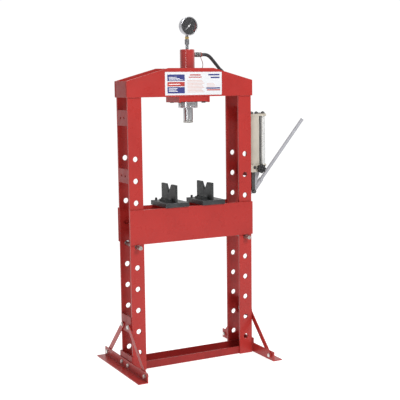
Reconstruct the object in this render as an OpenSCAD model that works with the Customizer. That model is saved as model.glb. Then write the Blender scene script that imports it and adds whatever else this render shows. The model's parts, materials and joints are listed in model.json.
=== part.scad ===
// Hydraulic shop press, H-frame, floor standing.
// X right, Y to the back, Z up. Origin on the floor, midway between the uprights.

/* [Frame] */
// Width over the two uprights
span_w = 640; // [560:1:760]
// Depth over the front and back bars
frame_d = 130; // [110:1:160]
// Width of one upright bar
bar_w = 68; // [56:1:80]
// Thickness of one upright bar
bar_t = 10; // [6:1:12]
// Height of the crown's underside above the floor
crown_z = 1264; // [1200:1:1400]
// Height of the crown plates at their ends
crown_side_h = 74; // [60:1:90]
// Height of the crown plates in the middle
crown_peak_h = 131; // [110:1:160]
// Length of the flat on top of the crown
crown_flat = 234; // [180:1:280]
// Thickness of the crown plates
crown_t = 7; // [5:0.5:9]
// Thickness of the crown end plates
end_t = 5; // [4:0.5:8]

/* [Bed height holes] */
// Diameter of the bed pin holes
hole_d = 25; // [22:0.5:28]
// Distance between one hole and the next
hole_pitch = 100; // [85:1:110]
// Height of the lowest hole
hole_z0 = 86; // [80:1:110]
// Number of holes in each bar
hole_n = 10; // [8:1:11]
// Hole the bed pins sit in, counted from the floor starting at 0
bed_level = 5; // [4:1:6]

/* [Bed] */
// Height of the bed beams
beam_h = 160; // [130:1:180]
// Thickness of the bed beams
beam_t = 8; // [6:1:10]
// Diameter of the bed pins
pin_d = 20; // [16:0.5:21]
// Amount a bed pin stands out in front of the beam
pin_out = 32; // [24:1:45]

/* [Arbor plates and vee blocks] */
// Width of an arbor plate
arbor_w = 120; // [90:1:130]
// Length of an arbor plate, front to back
arbor_l = 172; // [155:1:200]
// Thickness of an arbor plate
arbor_t = 21; // [16:1:26]
// Ram axis to the left plate's edge
gap_l = 40; // [32:1:50]
// Ram axis to the right plate's edge
gap_r = 30; // [28:1:50]
// Length of a vee block, front to back
vee_l = 152; // [130:1:166]
// Height of a vee block
vee_h = 81; // [66:1:95]
// Thickness of a vee block's upright plate
vee_t = 11; // [10:1:14]
// Width of the vee at the top
vee_w = 58; // [40:1:62]
// Depth of the vee
vee_d = 44; // [32:1:50]
// Width of a vee block's foot
vee_foot = 30; // [28:1:32]
// Length of a vee block's foot
vee_foot_l = 76; // [64:1:120]
// Radius of the fillet between foot and plate
vee_fil = 14; // [8:1:16]

/* [Ram and cylinder] */
// Offset of the ram axis from the middle of the frame
ram_x = 15; // [0:1:20]
// Diameter of the ram
ram_d = 47; // [40:1:50]
// Outside diameter of the cylinder
cyl_d = 70; // [66:1:76]
// Bore of the cylinder
bore_d = 54; // [52:0.5:56]
// Height of the cylinder above the crown
cyl_up = 87; // [70:1:105]
// Diameter of the ring nut
ring_d = 94; // [88:1:105]
// Height of the ring nut
ring_h = 31; // [26:1:36]
// Depth of the cylinder bracket under the crown
brk_h = 27; // [24:1:32]
// Width of the cylinder bracket
brk_w = 158; // [150:1:176]
// Length of ram below the ring nut at rest
ram_out = 70; // [60:1:90]
// Working stroke of the ram
stroke = 150; // [110:1:155]

/* [Gauge] */
// Diameter of the gauge bezel
gauge_d = 86; // [76:1:100]
// Depth of the gauge case
gauge_t = 34; // [28:1:40]

/* [Pump] */
// Outside diameter of the oil tank
tank_d = 68; // [62:1:76]
// Height of the upper pump plate's holes
pump_hi = 1172; // [1150:1:1200]
// Height of the lower pump plate's holes
pump_lo = 908; // [890:1:920]
// Distance between the two holes of a pump plate
pump_hole_s = 40; // [34:1:44]
// Length of the handle from its pivot to the tip
handle_l = 453; // [380:1:560]
// Diameter of the handle tube
handle_d = 17; // [14:0.5:18]
// Angle of the handle above level at rest
handle_a = 50; // [46:1:51]

/* [Feet and braces] */
// Length of a foot, front to back
foot_l = 505; // [440:1:600]
// Height of a foot's upright flange
foot_h = 45; // [38:1:50]
// Width of a foot's flange on the floor
foot_w = 48; // [40:1:60]
// Thickness of the foot angle
foot_t = 5; // [4:0.5:7]
// Width of a brace bar
brace_w = 26; // [20:1:30]
// Height of the base crossmember
base_h = 36; // [30:1:42]

/* [Hidden] */
$fn = 96;
xo = span_w / 2;              // outer edge of an upright
xi = xo - bar_w;              // inner edge of an upright
hx = xo - bar_w / 2;          // line of the bed pin holes
yo = frame_d / 2;             // front face of the bars, from the middle
yi = yo - bar_t;              // space between the bars
crown_top = crown_z + crown_peak_h;
bar_h = crown_z + crown_side_h - 8;
pin_z = hole_z0 + bed_level * hole_pitch - (hole_d - pin_d) / 2 + 0.3;
bed_z = pin_z + pin_d / 2 + 0.3;
bed_top = bed_z + beam_h;
beam_y = yo + 0.5;
bed_l = span_w + 6;
tie_x = xi - 20;
arbor_y = 4;
al_x = ram_x - gap_l - arbor_w / 2;
ar_x = ram_x + gap_r + arbor_w / 2;
ab_top = bed_top + arbor_t;
brk_z = crown_z - brk_h;
brk_y = yo + crown_t;
seat_z = brk_z + 4;           // underside of the bracket's base plate
cyl_top = crown_top + cyl_up;
ring_z = seat_z - ring_h;
barrel_z = ring_z + 6;
pis_z = cyl_top - 58;         // underside of the piston
nose_z = ring_z - ram_out;
port_z = cyl_top - 24;
stem_top = cyl_top + 59;
gland_h = pis_z - barrel_z - stroke - 24;  // 24 spare between piston and gland at full stroke
pad_hole = 11;                // holes in the pump plates
bolt_hole = 10.6;             // clearance holes for the M10 bolts
bolt_d = 10;
bolt_af = 17;                 // across the flats of the M10 heads and nuts
bolt_h = 6.5;                 // height of the M10 heads and nuts
seat_x = brk_w / 2 - 19;      // bracket bolts, from the ram axis
seat_y = 45;
gauge_z = stem_top + 4 + gauge_d / 2;
gauge_y = -28;                // face of the gauge
tank_x = xo + 12 + tank_d / 2;
rod_x = tank_x + tank_d / 2 + 7;   // black clamping rod beside the tank
tube_x = rod_x + 19;
blk_z = pump_lo - 17;         // underside of the pump block
blk_h = 35;
blk_w = 80;
knob_x = xo + 66;
knob_z = pump_lo;
plug_x = xo + 36;             // plug in the front of the pump block
plug_z = pump_lo + 6;
port_x = xo + 45;             // hose port in the back of the pump block
tank_z = blk_z + blk_h;
cap_z = pump_hi - 10;
ful_x = xo + 47;              // handle pivot
ful_z = blk_z - 98;
arm_x = 22;                   // from the pivot to the plunger pin
arm_z = 6;
plg_x = ful_x - arm_x;
plg_z = ful_z - arm_z;
lug_x = ful_x - 12;           // left edge of the lug bars
lug_w = 17;
handle_bore = handle_d + 0.1;
brace_x = xo + 3;
foot_x = xo + 8;
up_z = 205;
low_y = foot_l / 2 - 30;
low_z = 24;
brace_y = 36;
hose_r = 8;
hose_n = 12;
// Middle line of the hose, from the coupler to the port in the back of the pump block
hose_p = [[92, 0, 1458], [110, 0, 1458], [126, 2, 1454], [141, 6, 1445], [156, 12, 1433],
    [172, 19, 1420], [189, 27, 1406], [206, 38, 1394], [224, 50, 1385], [241, 64, 1376],
    [257, 77, 1364], [269, 87, 1344], [278, 92, 1319], [284, 93, 1293], [287, 92, 1267],
    [289, 90, 1241], [290, 88, 1215], [292, 88, 1189], [295, 90, 1163], [300, 94, 1138],
    [307, 100, 1113], [315, 108, 1088], [324, 117, 1064], [333, 126, 1041], [343, 133, 1018],
    [352, 137, 994], [359, 134, 969], [363, 124, 946], [365, 107, 927], [366, 86, 914],
    [365, 66, 908], [365, 50, 908]];

// ---- helpers -------------------------------------------------------------
module ycyl(d, y0, y1) translate([0, y1, 0]) rotate([90, 0, 0]) cylinder(d = d, h = y1 - y0);
module xcyl(d, x0, x1) translate([x0, 0, 0]) rotate([0, 90, 0]) cylinder(d = d, h = x1 - x0);
module xhex(af, x0, x1)
    translate([x0, 0, 0]) rotate([0, 90, 0]) cylinder(d = af / 0.866, h = x1 - x0, $fn = 6);
module yhex(af, y0, y1)
    translate([0, y1, 0]) rotate([90, 0, 0]) cylinder(d = af / 0.866, h = y1 - y0, $fn = 6);

// ---- uprights ------------------------------------------------------------
module bar(s, f) {
    difference() {
        translate([s > 0 ? xi : -xo, f > 0 ? yi : -yo, 0]) cube([bar_w, bar_t, bar_h]);
        for (k = [0 : hole_n - 1])
            translate([s * hx, 0, hole_z0 + k * hole_pitch])
                ycyl(hole_d, f > 0 ? yi - 1 : -yo - 1, f > 0 ? yo + 1 : -yi + 1);
    }
}
module upright_lf() color([0.62, 0.10, 0.10]) bar(-1, -1);
module upright_lb() color([0.62, 0.10, 0.10]) bar(-1, 1);
module upright_rf() color([0.62, 0.10, 0.10]) bar(1, -1);
module upright_rb() color([0.62, 0.10, 0.10]) bar(1, 1);

module plate_with_holes(s, zc, h) {
    difference() {
        translate([s > 0 ? xo - 8 : -xo, -yi, zc - h / 2]) cube([8, 2 * yi, h]);
        for (k = [-1, 1])
            translate([0, k * pump_hole_s / 2, zc])
                xcyl(pad_hole, s > 0 ? xo - 9 : -xo - 1, s > 0 ? xo + 1 : -xo + 9);
    }
}
module pump_plates_l() color([0.55, 0.10, 0.10]) {
    plate_with_holes(-1, pump_hi, 71);
    plate_with_holes(-1, pump_lo, 65);
}
module pump_plates_r() color([0.55, 0.10, 0.10]) {
    plate_with_holes(1, pump_hi, 71);
    plate_with_holes(1, pump_lo, 65);
}
module brace_plate(s) {
    difference() {
        translate([s > 0 ? xo - 8 : -brace_x, -yi, up_z - 28]) cube([11, 2 * yi, 78]);
        for (k = [-1, 1])
            translate([0, k * brace_y, up_z])
                xcyl(bolt_hole, s > 0 ? xo - 9 : -brace_x - 1, s > 0 ? brace_x + 1 : -xo + 9);
    }
}
module brace_plate_l() color([0.55, 0.10, 0.10]) brace_plate(-1);
module brace_plate_r() color([0.55, 0.10, 0.10]) brace_plate(1);
module base_bracket(s) {
    difference() {
        translate([s > 0 ? xo : -foot_x, -yo - 5, 4]) cube([8, frame_d + 10, 68]);
        for (k = [-1, 1])
            translate([0, k * brace_y, low_z])
                xcyl(bolt_hole, s > 0 ? xo - 1 : -foot_x - 1, s > 0 ? foot_x + 1 : -xo + 1);
    }
}
module base_bracket_l() color([0.55, 0.10, 0.10]) base_bracket(-1);
module base_bracket_r() color([0.55, 0.10, 0.10]) base_bracket(1);
module base_channel() color([0.60, 0.10, 0.10])
    difference() {
        translate([-xo, -yi, 0]) cube([span_w, 2 * yi, base_h]);
        translate([-xo - 1, -yi + 6, 6]) cube([span_w + 2, 2 * yi - 12, base_h]);
    }

// ---- feet and braces -----------------------------------------------------
module foot(s) {
    difference() {
        union() {
            translate([s > 0 ? foot_x : -foot_x - foot_t, -foot_l / 2, 0])
                cube([foot_t, foot_l, foot_h]);
            translate([s > 0 ? foot_x : -foot_x - foot_w, -foot_l / 2, 0])
                cube([foot_w, foot_l, foot_t]);
        }
        for (y = [-low_y, -brace_y, brace_y, low_y])
            translate([0, y, low_z])
                xcyl(bolt_hole, s > 0 ? foot_x - 1 : -foot_x - foot_t - 1,
                    s > 0 ? foot_x + foot_t + 1 : -foot_x + 1);
    }
}
module foot_l_angle() color([0.58, 0.10, 0.10]) foot(-1);
module foot_r_angle() color([0.58, 0.10, 0.10]) foot(1);

module brace(s, f) {
    run = low_y - brace_y;
    rise = up_z - low_z;
    len = sqrt(run * run + rise * rise);
    ang = atan2(rise, run);
    difference() {
        translate([s > 0 ? brace_x : -brace_x - 5, f * low_y, low_z]) rotate([f * -ang, 0, 0])
            union() {
                translate([0, f > 0 ? -len : 0, -brace_w / 2]) cube([5, len, brace_w]);
                xcyl(brace_w, 0, 5);
                translate([0, f * -len, 0]) xcyl(brace_w, 0, 5);
            }
        for (p = [[f * low_y, low_z], [f * brace_y, up_z]])
            translate([s > 0 ? 0 : -brace_x - 6, p[0], p[1]])
                xcyl(bolt_hole, s > 0 ? brace_x - 1 : 0, s > 0 ? brace_x + 6 : 7);
    }
}
module brace_lf() color([0.58, 0.10, 0.10]) brace(-1, -1);
module brace_lb() color([0.58, 0.10, 0.10]) brace(-1, 1);
module brace_rf() color([0.58, 0.10, 0.10]) brace(1, -1);
module brace_rb() color([0.58, 0.10, 0.10]) brace(1, 1);

// One cross bolt: head outside at x1, nut inside at x0
module xbolt(x0, x1) {
    xcyl(bolt_d, x0 - bolt_h - 0.5, x1 + 1);
    xhex(bolt_af, x1, x1 + bolt_h);
    xhex(bolt_af, x0 - bolt_h, x0);
}
module side_bolts(s) mirror([s > 0 ? 0 : 1, 0, 0]) {
    for (y = [-brace_y, brace_y]) {
        translate([0, y, up_z]) xbolt(xo - 8, brace_x + 5);
        translate([0, y, low_z]) xbolt(xo, foot_x + foot_t);
    }
    for (y = [-low_y, low_y])
        translate([0, y, low_z]) xbolt(brace_x, foot_x + foot_t);
}
module foot_bolts() color([0.75, 0.75, 0.72]) {
    side_bolts(-1);
    side_bolts(1);
}

// ---- crown ---------------------------------------------------------------
module crown_shape() {
    w = xo + end_t;
    polygon([[-w, crown_z], [w, crown_z], [w, crown_z + crown_side_h],
        [crown_flat / 2, crown_top], [-crown_flat / 2, crown_top],
        [-w, crown_z + crown_side_h]]);
}
module crown_front() color([0.64, 0.10, 0.10])
    translate([0, -yo, 0]) rotate([90, 0, 0]) linear_extrude(height = crown_t) crown_shape();
module crown_back() color([0.64, 0.10, 0.10])
    translate([0, yo + crown_t, 0]) rotate([90, 0, 0])
        linear_extrude(height = crown_t) crown_shape();
module crown_ends() color([0.60, 0.10, 0.10])
    for (x = [-xo - end_t, xo])
        translate([x, -yo, crown_z]) cube([end_t, frame_d, crown_side_h]);
module crown_seats() color([0.50, 0.09, 0.09])
    for (s = [-1, 1]) difference() {
        translate([ram_x + s * seat_x - 19, -yo, crown_z]) cube([38, frame_d, 12]);
        for (f = [-1, 1])
            translate([ram_x + s * seat_x, f * seat_y, crown_z - 1])
                cylinder(d = 12.6, h = 14);
    }
module cyl_bracket() color([0.62, 0.12, 0.10])
    difference() {
        union() {
            for (x = [ram_x - brk_w / 2, ram_x + brk_w / 2 - 8])
                translate([x, -brk_y, brk_z]) cube([8, 2 * brk_y, brk_h]);
            translate([ram_x - brk_w / 2, -brk_y + 3, seat_z]) cube([brk_w, 2 * brk_y - 6, 10]);
            for (y = [-brk_y + 3, brk_y - 9])
                translate([ram_x - brk_w / 2, y, seat_z + 2]) cube([brk_w, 6, brk_h - 6]);
        }
        translate([ram_x, 0, seat_z - 1]) cylinder(d = cyl_d, h = 12);
        for (s = [-1, 1], f = [-1, 1])
            translate([ram_x + s * seat_x, f * seat_y, seat_z - 1])
                cylinder(d = 12.6, h = 12);
    }
module bracket_bolts() color([0.42, 0.42, 0.42])
    for (s = [-1, 1], f = [-1, 1])
        translate([ram_x + s * seat_x, f * seat_y, 0]) {
            translate([0, 0, seat_z - 7]) cylinder(d = 18 / 0.866, h = 7, $fn = 6);
            translate([0, 0, seat_z - 1]) cylinder(d = 12, h = crown_z - seat_z + 24);
            translate([0, 0, crown_z + 12]) cylinder(d = 18 / 0.866, h = 9, $fn = 6);
        }
module label_plate() color([0.93, 0.93, 0.93])
    translate([ram_x - 151, -yo - crown_t - 0.6, crown_z + 7]) cube([294, 0.6, 106]);

// ---- cylinder and ram ----------------------------------------------------
module cyl_barrel() color([0.62, 0.10, 0.10])
    difference() {
        translate([ram_x, 0, 0]) rotate_extrude()
            polygon([[bore_d / 2, barrel_z], [cyl_d / 2, barrel_z],
                [cyl_d / 2, cyl_top - 3], [cyl_d / 2 - 3, cyl_top], [6, cyl_top],
                [6, cyl_top - 14], [bore_d / 2, cyl_top - 14]]);
        translate([ram_x, 0, port_z]) xcyl(12, bore_d / 2 - 4, cyl_d / 2 + 1);
    }
module ring_nut() color([0.80, 0.80, 0.80])
    translate([ram_x, 0, 0]) rotate_extrude()
        polygon([[ram_d / 2 + 0.08, ring_z + 2], [ram_d / 2 + 2, ring_z],
            [ring_d / 2 - 2, ring_z], [ring_d / 2, ring_z + 2],
            [ring_d / 2, seat_z - 2], [ring_d / 2 - 2, seat_z], [cyl_d / 2, seat_z],
            [cyl_d / 2, barrel_z], [ram_d / 2 + 0.08, barrel_z]]);
module gland_bush() color([0.72, 0.55, 0.30])
    translate([ram_x, 0, barrel_z]) rotate_extrude()
        translate([ram_d / 2 + 0.08, 0]) square([(bore_d - ram_d) / 2 - 0.08, gland_h]);
module piston() color([0.60, 0.60, 0.62])
    translate([ram_x, 0, pis_z]) rotate_extrude() square([bore_d / 2 - 0.06, 24]);
module ram_rod() color([0.85, 0.85, 0.87])
    translate([ram_x, 0, nose_z + 14]) rotate_extrude()
        square([ram_d / 2, pis_z - nose_z - 14]);
module ram_pad() color([0.80, 0.80, 0.82])
    translate([ram_x, 0, nose_z]) rotate_extrude()
        polygon([[0, 0], [ram_d / 2 - 2, 0], [ram_d / 2, 2], [ram_d / 2, 11],
            [ram_d / 2 - 2, 12], [ram_d / 2 - 2, 14], [0, 14]]);

// ---- gauge ---------------------------------------------------------------
module gauge_stem() color([0.55, 0.55, 0.56])
    translate([ram_x, 0, 0]) {
        translate([0, 0, cyl_top - 10]) cylinder(d = 11.9, h = 12);
        translate([0, 0, cyl_top]) cylinder(d = 15, h = 22);
        translate([0, 0, cyl_top + 22]) rotate([0, 0, 30]) cylinder(d = 21 / 0.866, h = 24, $fn = 6);
    }
module gauge_nipple() color([0.75, 0.58, 0.28])
    translate([ram_x, 0, 0]) {
        translate([0, 0, cyl_top + 46]) cylinder(d = 16, h = 4);
        translate([0, 0, cyl_top + 50]) cylinder(d = 17 / 0.866, h = 9, $fn = 6);
    }
module gauge_case() color([0.75, 0.75, 0.77])
    translate([ram_x, gauge_y, gauge_z]) {
        rotate([-90, 0, 0]) rotate_extrude()
            polygon([[0, gauge_t - 2.5], [gauge_d / 2 - 5, gauge_t - 2.5],
                [gauge_d / 2 - 5, 6], [gauge_d / 2 - 2.5, 6], [gauge_d / 2 - 2.5, gauge_t - 3],
                [gauge_d / 2 - 5.5, gauge_t], [0, gauge_t]]);
        translate([0, -gauge_y, stem_top - gauge_z]) cylinder(d = 14, h = 8.5);
    }
module gauge_bezel() color([0.86, 0.86, 0.88])
    translate([ram_x, gauge_y, gauge_z]) rotate([-90, 0, 0]) rotate_extrude()
        polygon([[gauge_d / 2 - 4, 0], [gauge_d / 2 - 1.5, 0], [gauge_d / 2, 1.5],
            [gauge_d / 2, 8], [gauge_d / 2 - 2.5, 8], [gauge_d / 2 - 2.5, 6],
            [gauge_d / 2 - 5, 6], [gauge_d / 2 - 5, 1.5]]);
module gauge_dial() color([0.08, 0.08, 0.09])
    difference() {
        union() {
            translate([ram_x, gauge_y, gauge_z]) ycyl(gauge_d - 10, 7, 8.2);
            translate([ram_x, gauge_y, gauge_z]) ycyl(7, 8.2, gauge_t - 2.5);
        }
        translate([ram_x, gauge_y, gauge_z]) ycyl(3.1, 6, 20);
    }
module gauge_needle() color([0.90, 0.90, 0.90])
    translate([ram_x, gauge_y, gauge_z]) {
        ycyl(8, 3.6, 5.4);
        ycyl(3, 5, 18);
        rotate([0, -45, 0]) {
            translate([-gauge_d / 2 * 0.64, 4, -0.9]) cube([gauge_d / 2 * 0.64, 1, 1.8]);
            translate([0, 4, -1.4]) cube([gauge_d / 2 * 0.27, 1, 2.8]);
        }
    }

// ---- coupler and hose ----------------------------------------------------
module coupler() color([0.55, 0.50, 0.42])
    translate([ram_x, 0, port_z]) {
        xcyl(11.9, bore_d / 2 + 1, cyl_d / 2 + 1);
        xcyl(19, cyl_d / 2, cyl_d / 2 + 4);
        xhex(20, cyl_d / 2 + 4, cyl_d / 2 + 12);
        xcyl(23, cyl_d / 2 + 12, cyl_d / 2 + 32);
        xcyl(19, cyl_d / 2 + 32, cyl_d / 2 + 42);
    }
function vn(v) = v / sqrt(v[0] * v[0] + v[1] * v[1] + v[2] * v[2]);
hose_c = len(hose_p);
function hdir(i) = vn(hose_p[i < hose_c - 1 ? i + 1 : i] - hose_p[i > 0 ? i - 1 : i]);
function hside(t) = vn(cross(t, [0.35, 0.93, 0.1]));
hose_v = [for (i = [0 : hose_c - 1]) let (t = hdir(i), a = hside(t), b = cross(t, a))
    for (k = [0 : hose_n - 1])
        hose_p[i] + hose_r * cos(360 * k / hose_n) * a + hose_r * sin(360 * k / hose_n) * b];
hose_f = concat(
    [[for (k = [0 : hose_n - 1]) hose_n - 1 - k]],
    [for (i = [0 : hose_c - 2]) for (k = [0 : hose_n - 1])
        [i * hose_n + k, i * hose_n + (k + 1) % hose_n,
            (i + 1) * hose_n + (k + 1) % hose_n]],
    [for (i = [0 : hose_c - 2]) for (k = [0 : hose_n - 1])
        [i * hose_n + k, (i + 1) * hose_n + (k + 1) % hose_n, (i + 1) * hose_n + k]],
    [[for (k = [0 : hose_n - 1]) (hose_c - 1) * hose_n + k]]);
module hose() color([0.10, 0.10, 0.11]) polyhedron(points = hose_v, faces = hose_f);

// ---- pump ----------------------------------------------------------------
module pump_tank() color([0.78, 0.74, 0.66])
    translate([tank_x, 0, tank_z]) difference() {
        cylinder(d = tank_d, h = cap_z - tank_z);
        translate([0, 0, -1]) cylinder(d = tank_d - 8, h = cap_z - tank_z + 2);
    }
module pump_cap() color([0.78, 0.74, 0.66]) {
    translate([tank_x, 0, cap_z]) cylinder(d = tank_d + 2, h = 12);
    translate([tube_x, 0, cap_z]) cylinder(d = 34, h = 12);
    translate([tank_x, -17, cap_z]) cube([tube_x - tank_x, 34, 12]);
    translate([xo + 7, -9, cap_z]) cube([16, 18, 12]);
    difference() {
        translate([xo, -38, pump_hi - 20]) cube([7, 76, 44]);
        for (k = [-1, 1])
            translate([0, k * pump_hole_s / 2, pump_hi]) xcyl(bolt_hole, xo - 1, xo + 8);
    }
}
module pump_tube() color([0.80, 0.80, 0.80])
    translate([tube_x, 0, tank_z]) cylinder(d = 24, h = cap_z - tank_z);
module pump_studs() color([0.18, 0.17, 0.17]) {
    translate([rod_x, 0, tank_z]) cylinder(d = 11, h = cap_z - tank_z);
    for (x = [tank_x - 4, tank_x + 23, tube_x])
        translate([x, 0, cap_z + 12]) {
            cylinder(d = bolt_af / 0.866, h = 8, $fn = 6);
            cylinder(d = bolt_d, h = 11);
        }
    translate([rod_x, 0, cap_z + 12]) cylinder(d = 11, h = 5);
    translate([plug_x, 0, plug_z]) {
        ycyl(16, -blk_w / 2 - 1.5, -blk_w / 2);
        yhex(12, -blk_w / 2 - 6, -blk_w / 2 - 1.5);
    }
}
module pump_block() color([0.76, 0.72, 0.64])
    difference() {
        union() {
            translate([xo, -blk_w / 2, blk_z]) cube([92, blk_w, blk_h]);
            translate([xo + 92, -17, blk_z + blk_h - 12]) cube([tube_x - xo - 92, 34, 12]);
            translate([tube_x, 0, blk_z + blk_h - 12]) cylinder(d = 34, h = 12);
            translate([port_x, 0, pump_lo]) ycyl(22, blk_w / 2 - 1, 50);
        }
        translate([plg_x, 0, blk_z - 1]) cylinder(d = 14.12, h = 31);
        translate([knob_x, 0, knob_z]) ycyl(12.12, -blk_w / 2 - 1, -16);
        for (k = [-1, 1])
            translate([0, k * pump_hole_s / 2, pump_lo]) xcyl(bolt_hole, xo - 1, xo + 16);
    }
module pump_lug() color([0.20, 0.20, 0.20]) {
    for (f = [-1, 1]) translate([0, f * 12.5, 0]) difference() {
        union() {
            translate([lug_x, -2.5, ful_z]) cube([lug_w, 5, blk_z - ful_z]);
            translate([ful_x, 0, ful_z]) ycyl(20, -2.5, 2.5);
        }
        translate([ful_x, 0, ful_z]) ycyl(10, -4, 4);
    }
    translate([ful_x, 0, ful_z]) {
        ycyl(10, -16, 16);
        yhex(16, -21, -15);
        yhex(16, 15, 21);
    }
}
module lug_gussets() color([0.75, 0.75, 0.80])
    for (f = [-1, 1])
        translate([lug_x + lug_w, f * 12.5 + 2.5, 0]) rotate([90, 0, 0])
            linear_extrude(height = 5)
                polygon([[0, ful_z + 14], [0, blk_z], [26, blk_z], [26, blk_z - 6]]);
module pump_bolts() color([0.42, 0.42, 0.42])
    for (k = [-1, 1]) {
        translate([0, k * pump_hole_s / 2, pump_hi]) xbolt(xo - 8, xo + 7);
        translate([0, k * pump_hole_s / 2, pump_lo]) {
            xcyl(bolt_d, xo - 15, xo + 14);
            xhex(bolt_af, xo - 8 - bolt_h, xo - 8);
        }
    }
module release_knob() color([0.09, 0.09, 0.09])
    translate([knob_x, 0, knob_z]) {
        ycyl(12, -46, -18);
        ycyl(40, -62, -45);
        for (k = [0 : 7]) rotate([0, k * 45, 0]) translate([18.5, 0, 0]) ycyl(9, -60, -47);
    }
module handle_socket() color([0.18, 0.18, 0.18])
    translate([ful_x, 0, ful_z]) {
        difference() {
            ycyl(18, -9.6, 9.6);
            ycyl(10.12, -10, 10);
        }
        for (f = [-1, 1]) translate([0, f * 7.5, 0]) {
            difference() {
                union() {
                    rotate([0, -atan2(-arm_z, -arm_x), 0])
                        translate([8, -2, -8]) cube([sqrt(arm_x * arm_x + arm_z * arm_z) - 8, 4, 16]);
                    translate([-arm_x, 0, -arm_z]) ycyl(18, -2, 2);
                }
                ycyl(17, -3, 3);
            }
            rotate([0, -handle_a, 0]) translate([8, -2, -9]) cube([24, 4, 18]);
        }
        translate([-arm_x, 0, -arm_z]) ycyl(8, -13, 9.5);
        translate([-arm_x, 0, -arm_z]) yhex(12, -14, -9.5);
        rotate([0, -handle_a, 0]) {
            translate([28, 0, 0]) difference() {
                xcyl(24, 0, 48);
                xcyl(handle_bore, 4, 49);
            }
            translate([64, 0, 0]) yhex(10, -15, -11);
        }
    }
module handle_tube() color([0.72, 0.72, 0.76])
    translate([ful_x, 0, ful_z]) rotate([0, -handle_a, 0])
        translate([32, 0, 0]) difference() {
            xcyl(handle_d, 0, handle_l - 32);
            xcyl(handle_d - 4, 3, handle_l - 36);
        }
module pump_plunger() color([0.22, 0.22, 0.22])
    difference() {
        union() {
            translate([plg_x, 0, plg_z + 20]) cylinder(d = 14, h = blk_z - plg_z - 10);
            translate([plg_x - 8.5, -4.5, plg_z - 8]) cube([17.5, 9, 32]);
        }
        for (x = [-1.2, 2.6]) translate([plg_x + x, 0, plg_z]) ycyl(8.6, -6, 6);
        translate([plg_x - 1.2, -6, plg_z - 4.3]) cube([3.8, 12, 8.6]);
    }

// ---- bed -----------------------------------------------------------------
module bed_front() color([0.64, 0.10, 0.10])
    translate([-bed_l / 2, -beam_y - beam_t, bed_z]) cube([bed_l, beam_t, beam_h]);
module bed_back() color([0.64, 0.10, 0.10])
    translate([-bed_l / 2, beam_y, bed_z]) cube([bed_l, beam_t, beam_h]);
module bed_ties() color([0.52, 0.09, 0.09])
    for (x = [-tie_x, tie_x])
        translate([x - 4, -beam_y, bed_z + 12]) cube([8, 2 * beam_y, beam_h - 28]);
module bed_pin(s) {
    y0 = -beam_y - beam_t;
    translate([s * hx, 0, pin_z]) {
        ycyl(pin_d, y0 - pin_out + 3, beam_y + beam_t + 9);
        ycyl(pin_d - 3, y0 - pin_out, beam_y + beam_t + 11);
    }
}
module bed_pin_l() color([0.55, 0.50, 0.48]) bed_pin(-1);
module bed_pin_r() color([0.55, 0.50, 0.48]) bed_pin(1);

module arbor(cx) translate([cx, arbor_y, bed_top]) {
    translate([-arbor_w / 2, -arbor_l / 2, 0]) cube([arbor_w, arbor_l, arbor_t]);
    translate([-arbor_w / 2 + 22, arbor_l / 2 - 14, arbor_t - 1]) cylinder(d = 11, h = 13);
}
module arbor_plate_l() color([0.10, 0.10, 0.10]) arbor(al_x);
module arbor_plate_r() color([0.10, 0.10, 0.10]) arbor(ar_x);
module vee(cx) translate([cx, arbor_y + 3, ab_top]) {
    difference() {
        translate([-vee_t / 2, -vee_l / 2, 0]) cube([vee_t, vee_l, vee_h]);
        rotate([90, 0, 90]) translate([0, 0, -vee_t])
            linear_extrude(2 * vee_t)
                polygon([[0, vee_h - vee_d], [vee_w, vee_h + vee_d], [-vee_w, vee_h + vee_d]]);
    }
    difference() {
        union() {
            translate([-vee_t / 2 - vee_foot, -vee_foot_l / 2, 0])
                cube([vee_foot + 1, vee_foot_l, 10]);
            translate([-vee_t / 2 - vee_fil, -vee_foot_l / 2, 9])
                cube([vee_fil + 1, vee_foot_l, vee_fil + 1]);
        }
        translate([-vee_t / 2 - vee_fil, 0, 10 + vee_fil])
            ycyl(2 * vee_fil, -vee_foot_l / 2 - 1, vee_foot_l / 2 + 1);
    }
    for (y = [-vee_foot_l / 2 + 14, vee_foot_l / 2 - 14])
        translate([-vee_t / 2 - vee_foot + 8, y, 9]) cylinder(d = 11, h = 7);
}
module vee_block_l() color([0.12, 0.12, 0.12]) vee(al_x);
module vee_block_r() color([0.12, 0.12, 0.12]) vee(ar_x);

upright_lf();
upright_lb();
upright_rf();
upright_rb();
pump_plates_l();
pump_plates_r();
brace_plate_l();
brace_plate_r();
base_bracket_l();
base_bracket_r();
base_channel();
foot_l_angle();
foot_r_angle();
brace_lf();
brace_lb();
brace_rf();
brace_rb();
foot_bolts();
crown_front();
crown_back();
crown_ends();
crown_seats();
cyl_bracket();
bracket_bolts();
label_plate();
cyl_barrel();
ring_nut();
gland_bush();
gauge_stem();
gauge_nipple();
gauge_case();
gauge_bezel();
gauge_dial();
coupler();
hose();
pump_tank();
pump_cap();
pump_tube();
pump_studs();
pump_block();
pump_lug();
lug_gussets();
pump_bolts();
piston();
ram_rod();
ram_pad();
gauge_needle();
release_knob();
handle_socket();
handle_tube();
pump_plunger();
bed_front();
bed_back();
bed_ties();
bed_pin_l();
bed_pin_r();
arbor_plate_l();
arbor_plate_r();
vee_block_l();
vee_block_r();
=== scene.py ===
import json
import math

import bmesh
import bpy
from mathutils import Matrix, Vector


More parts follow.
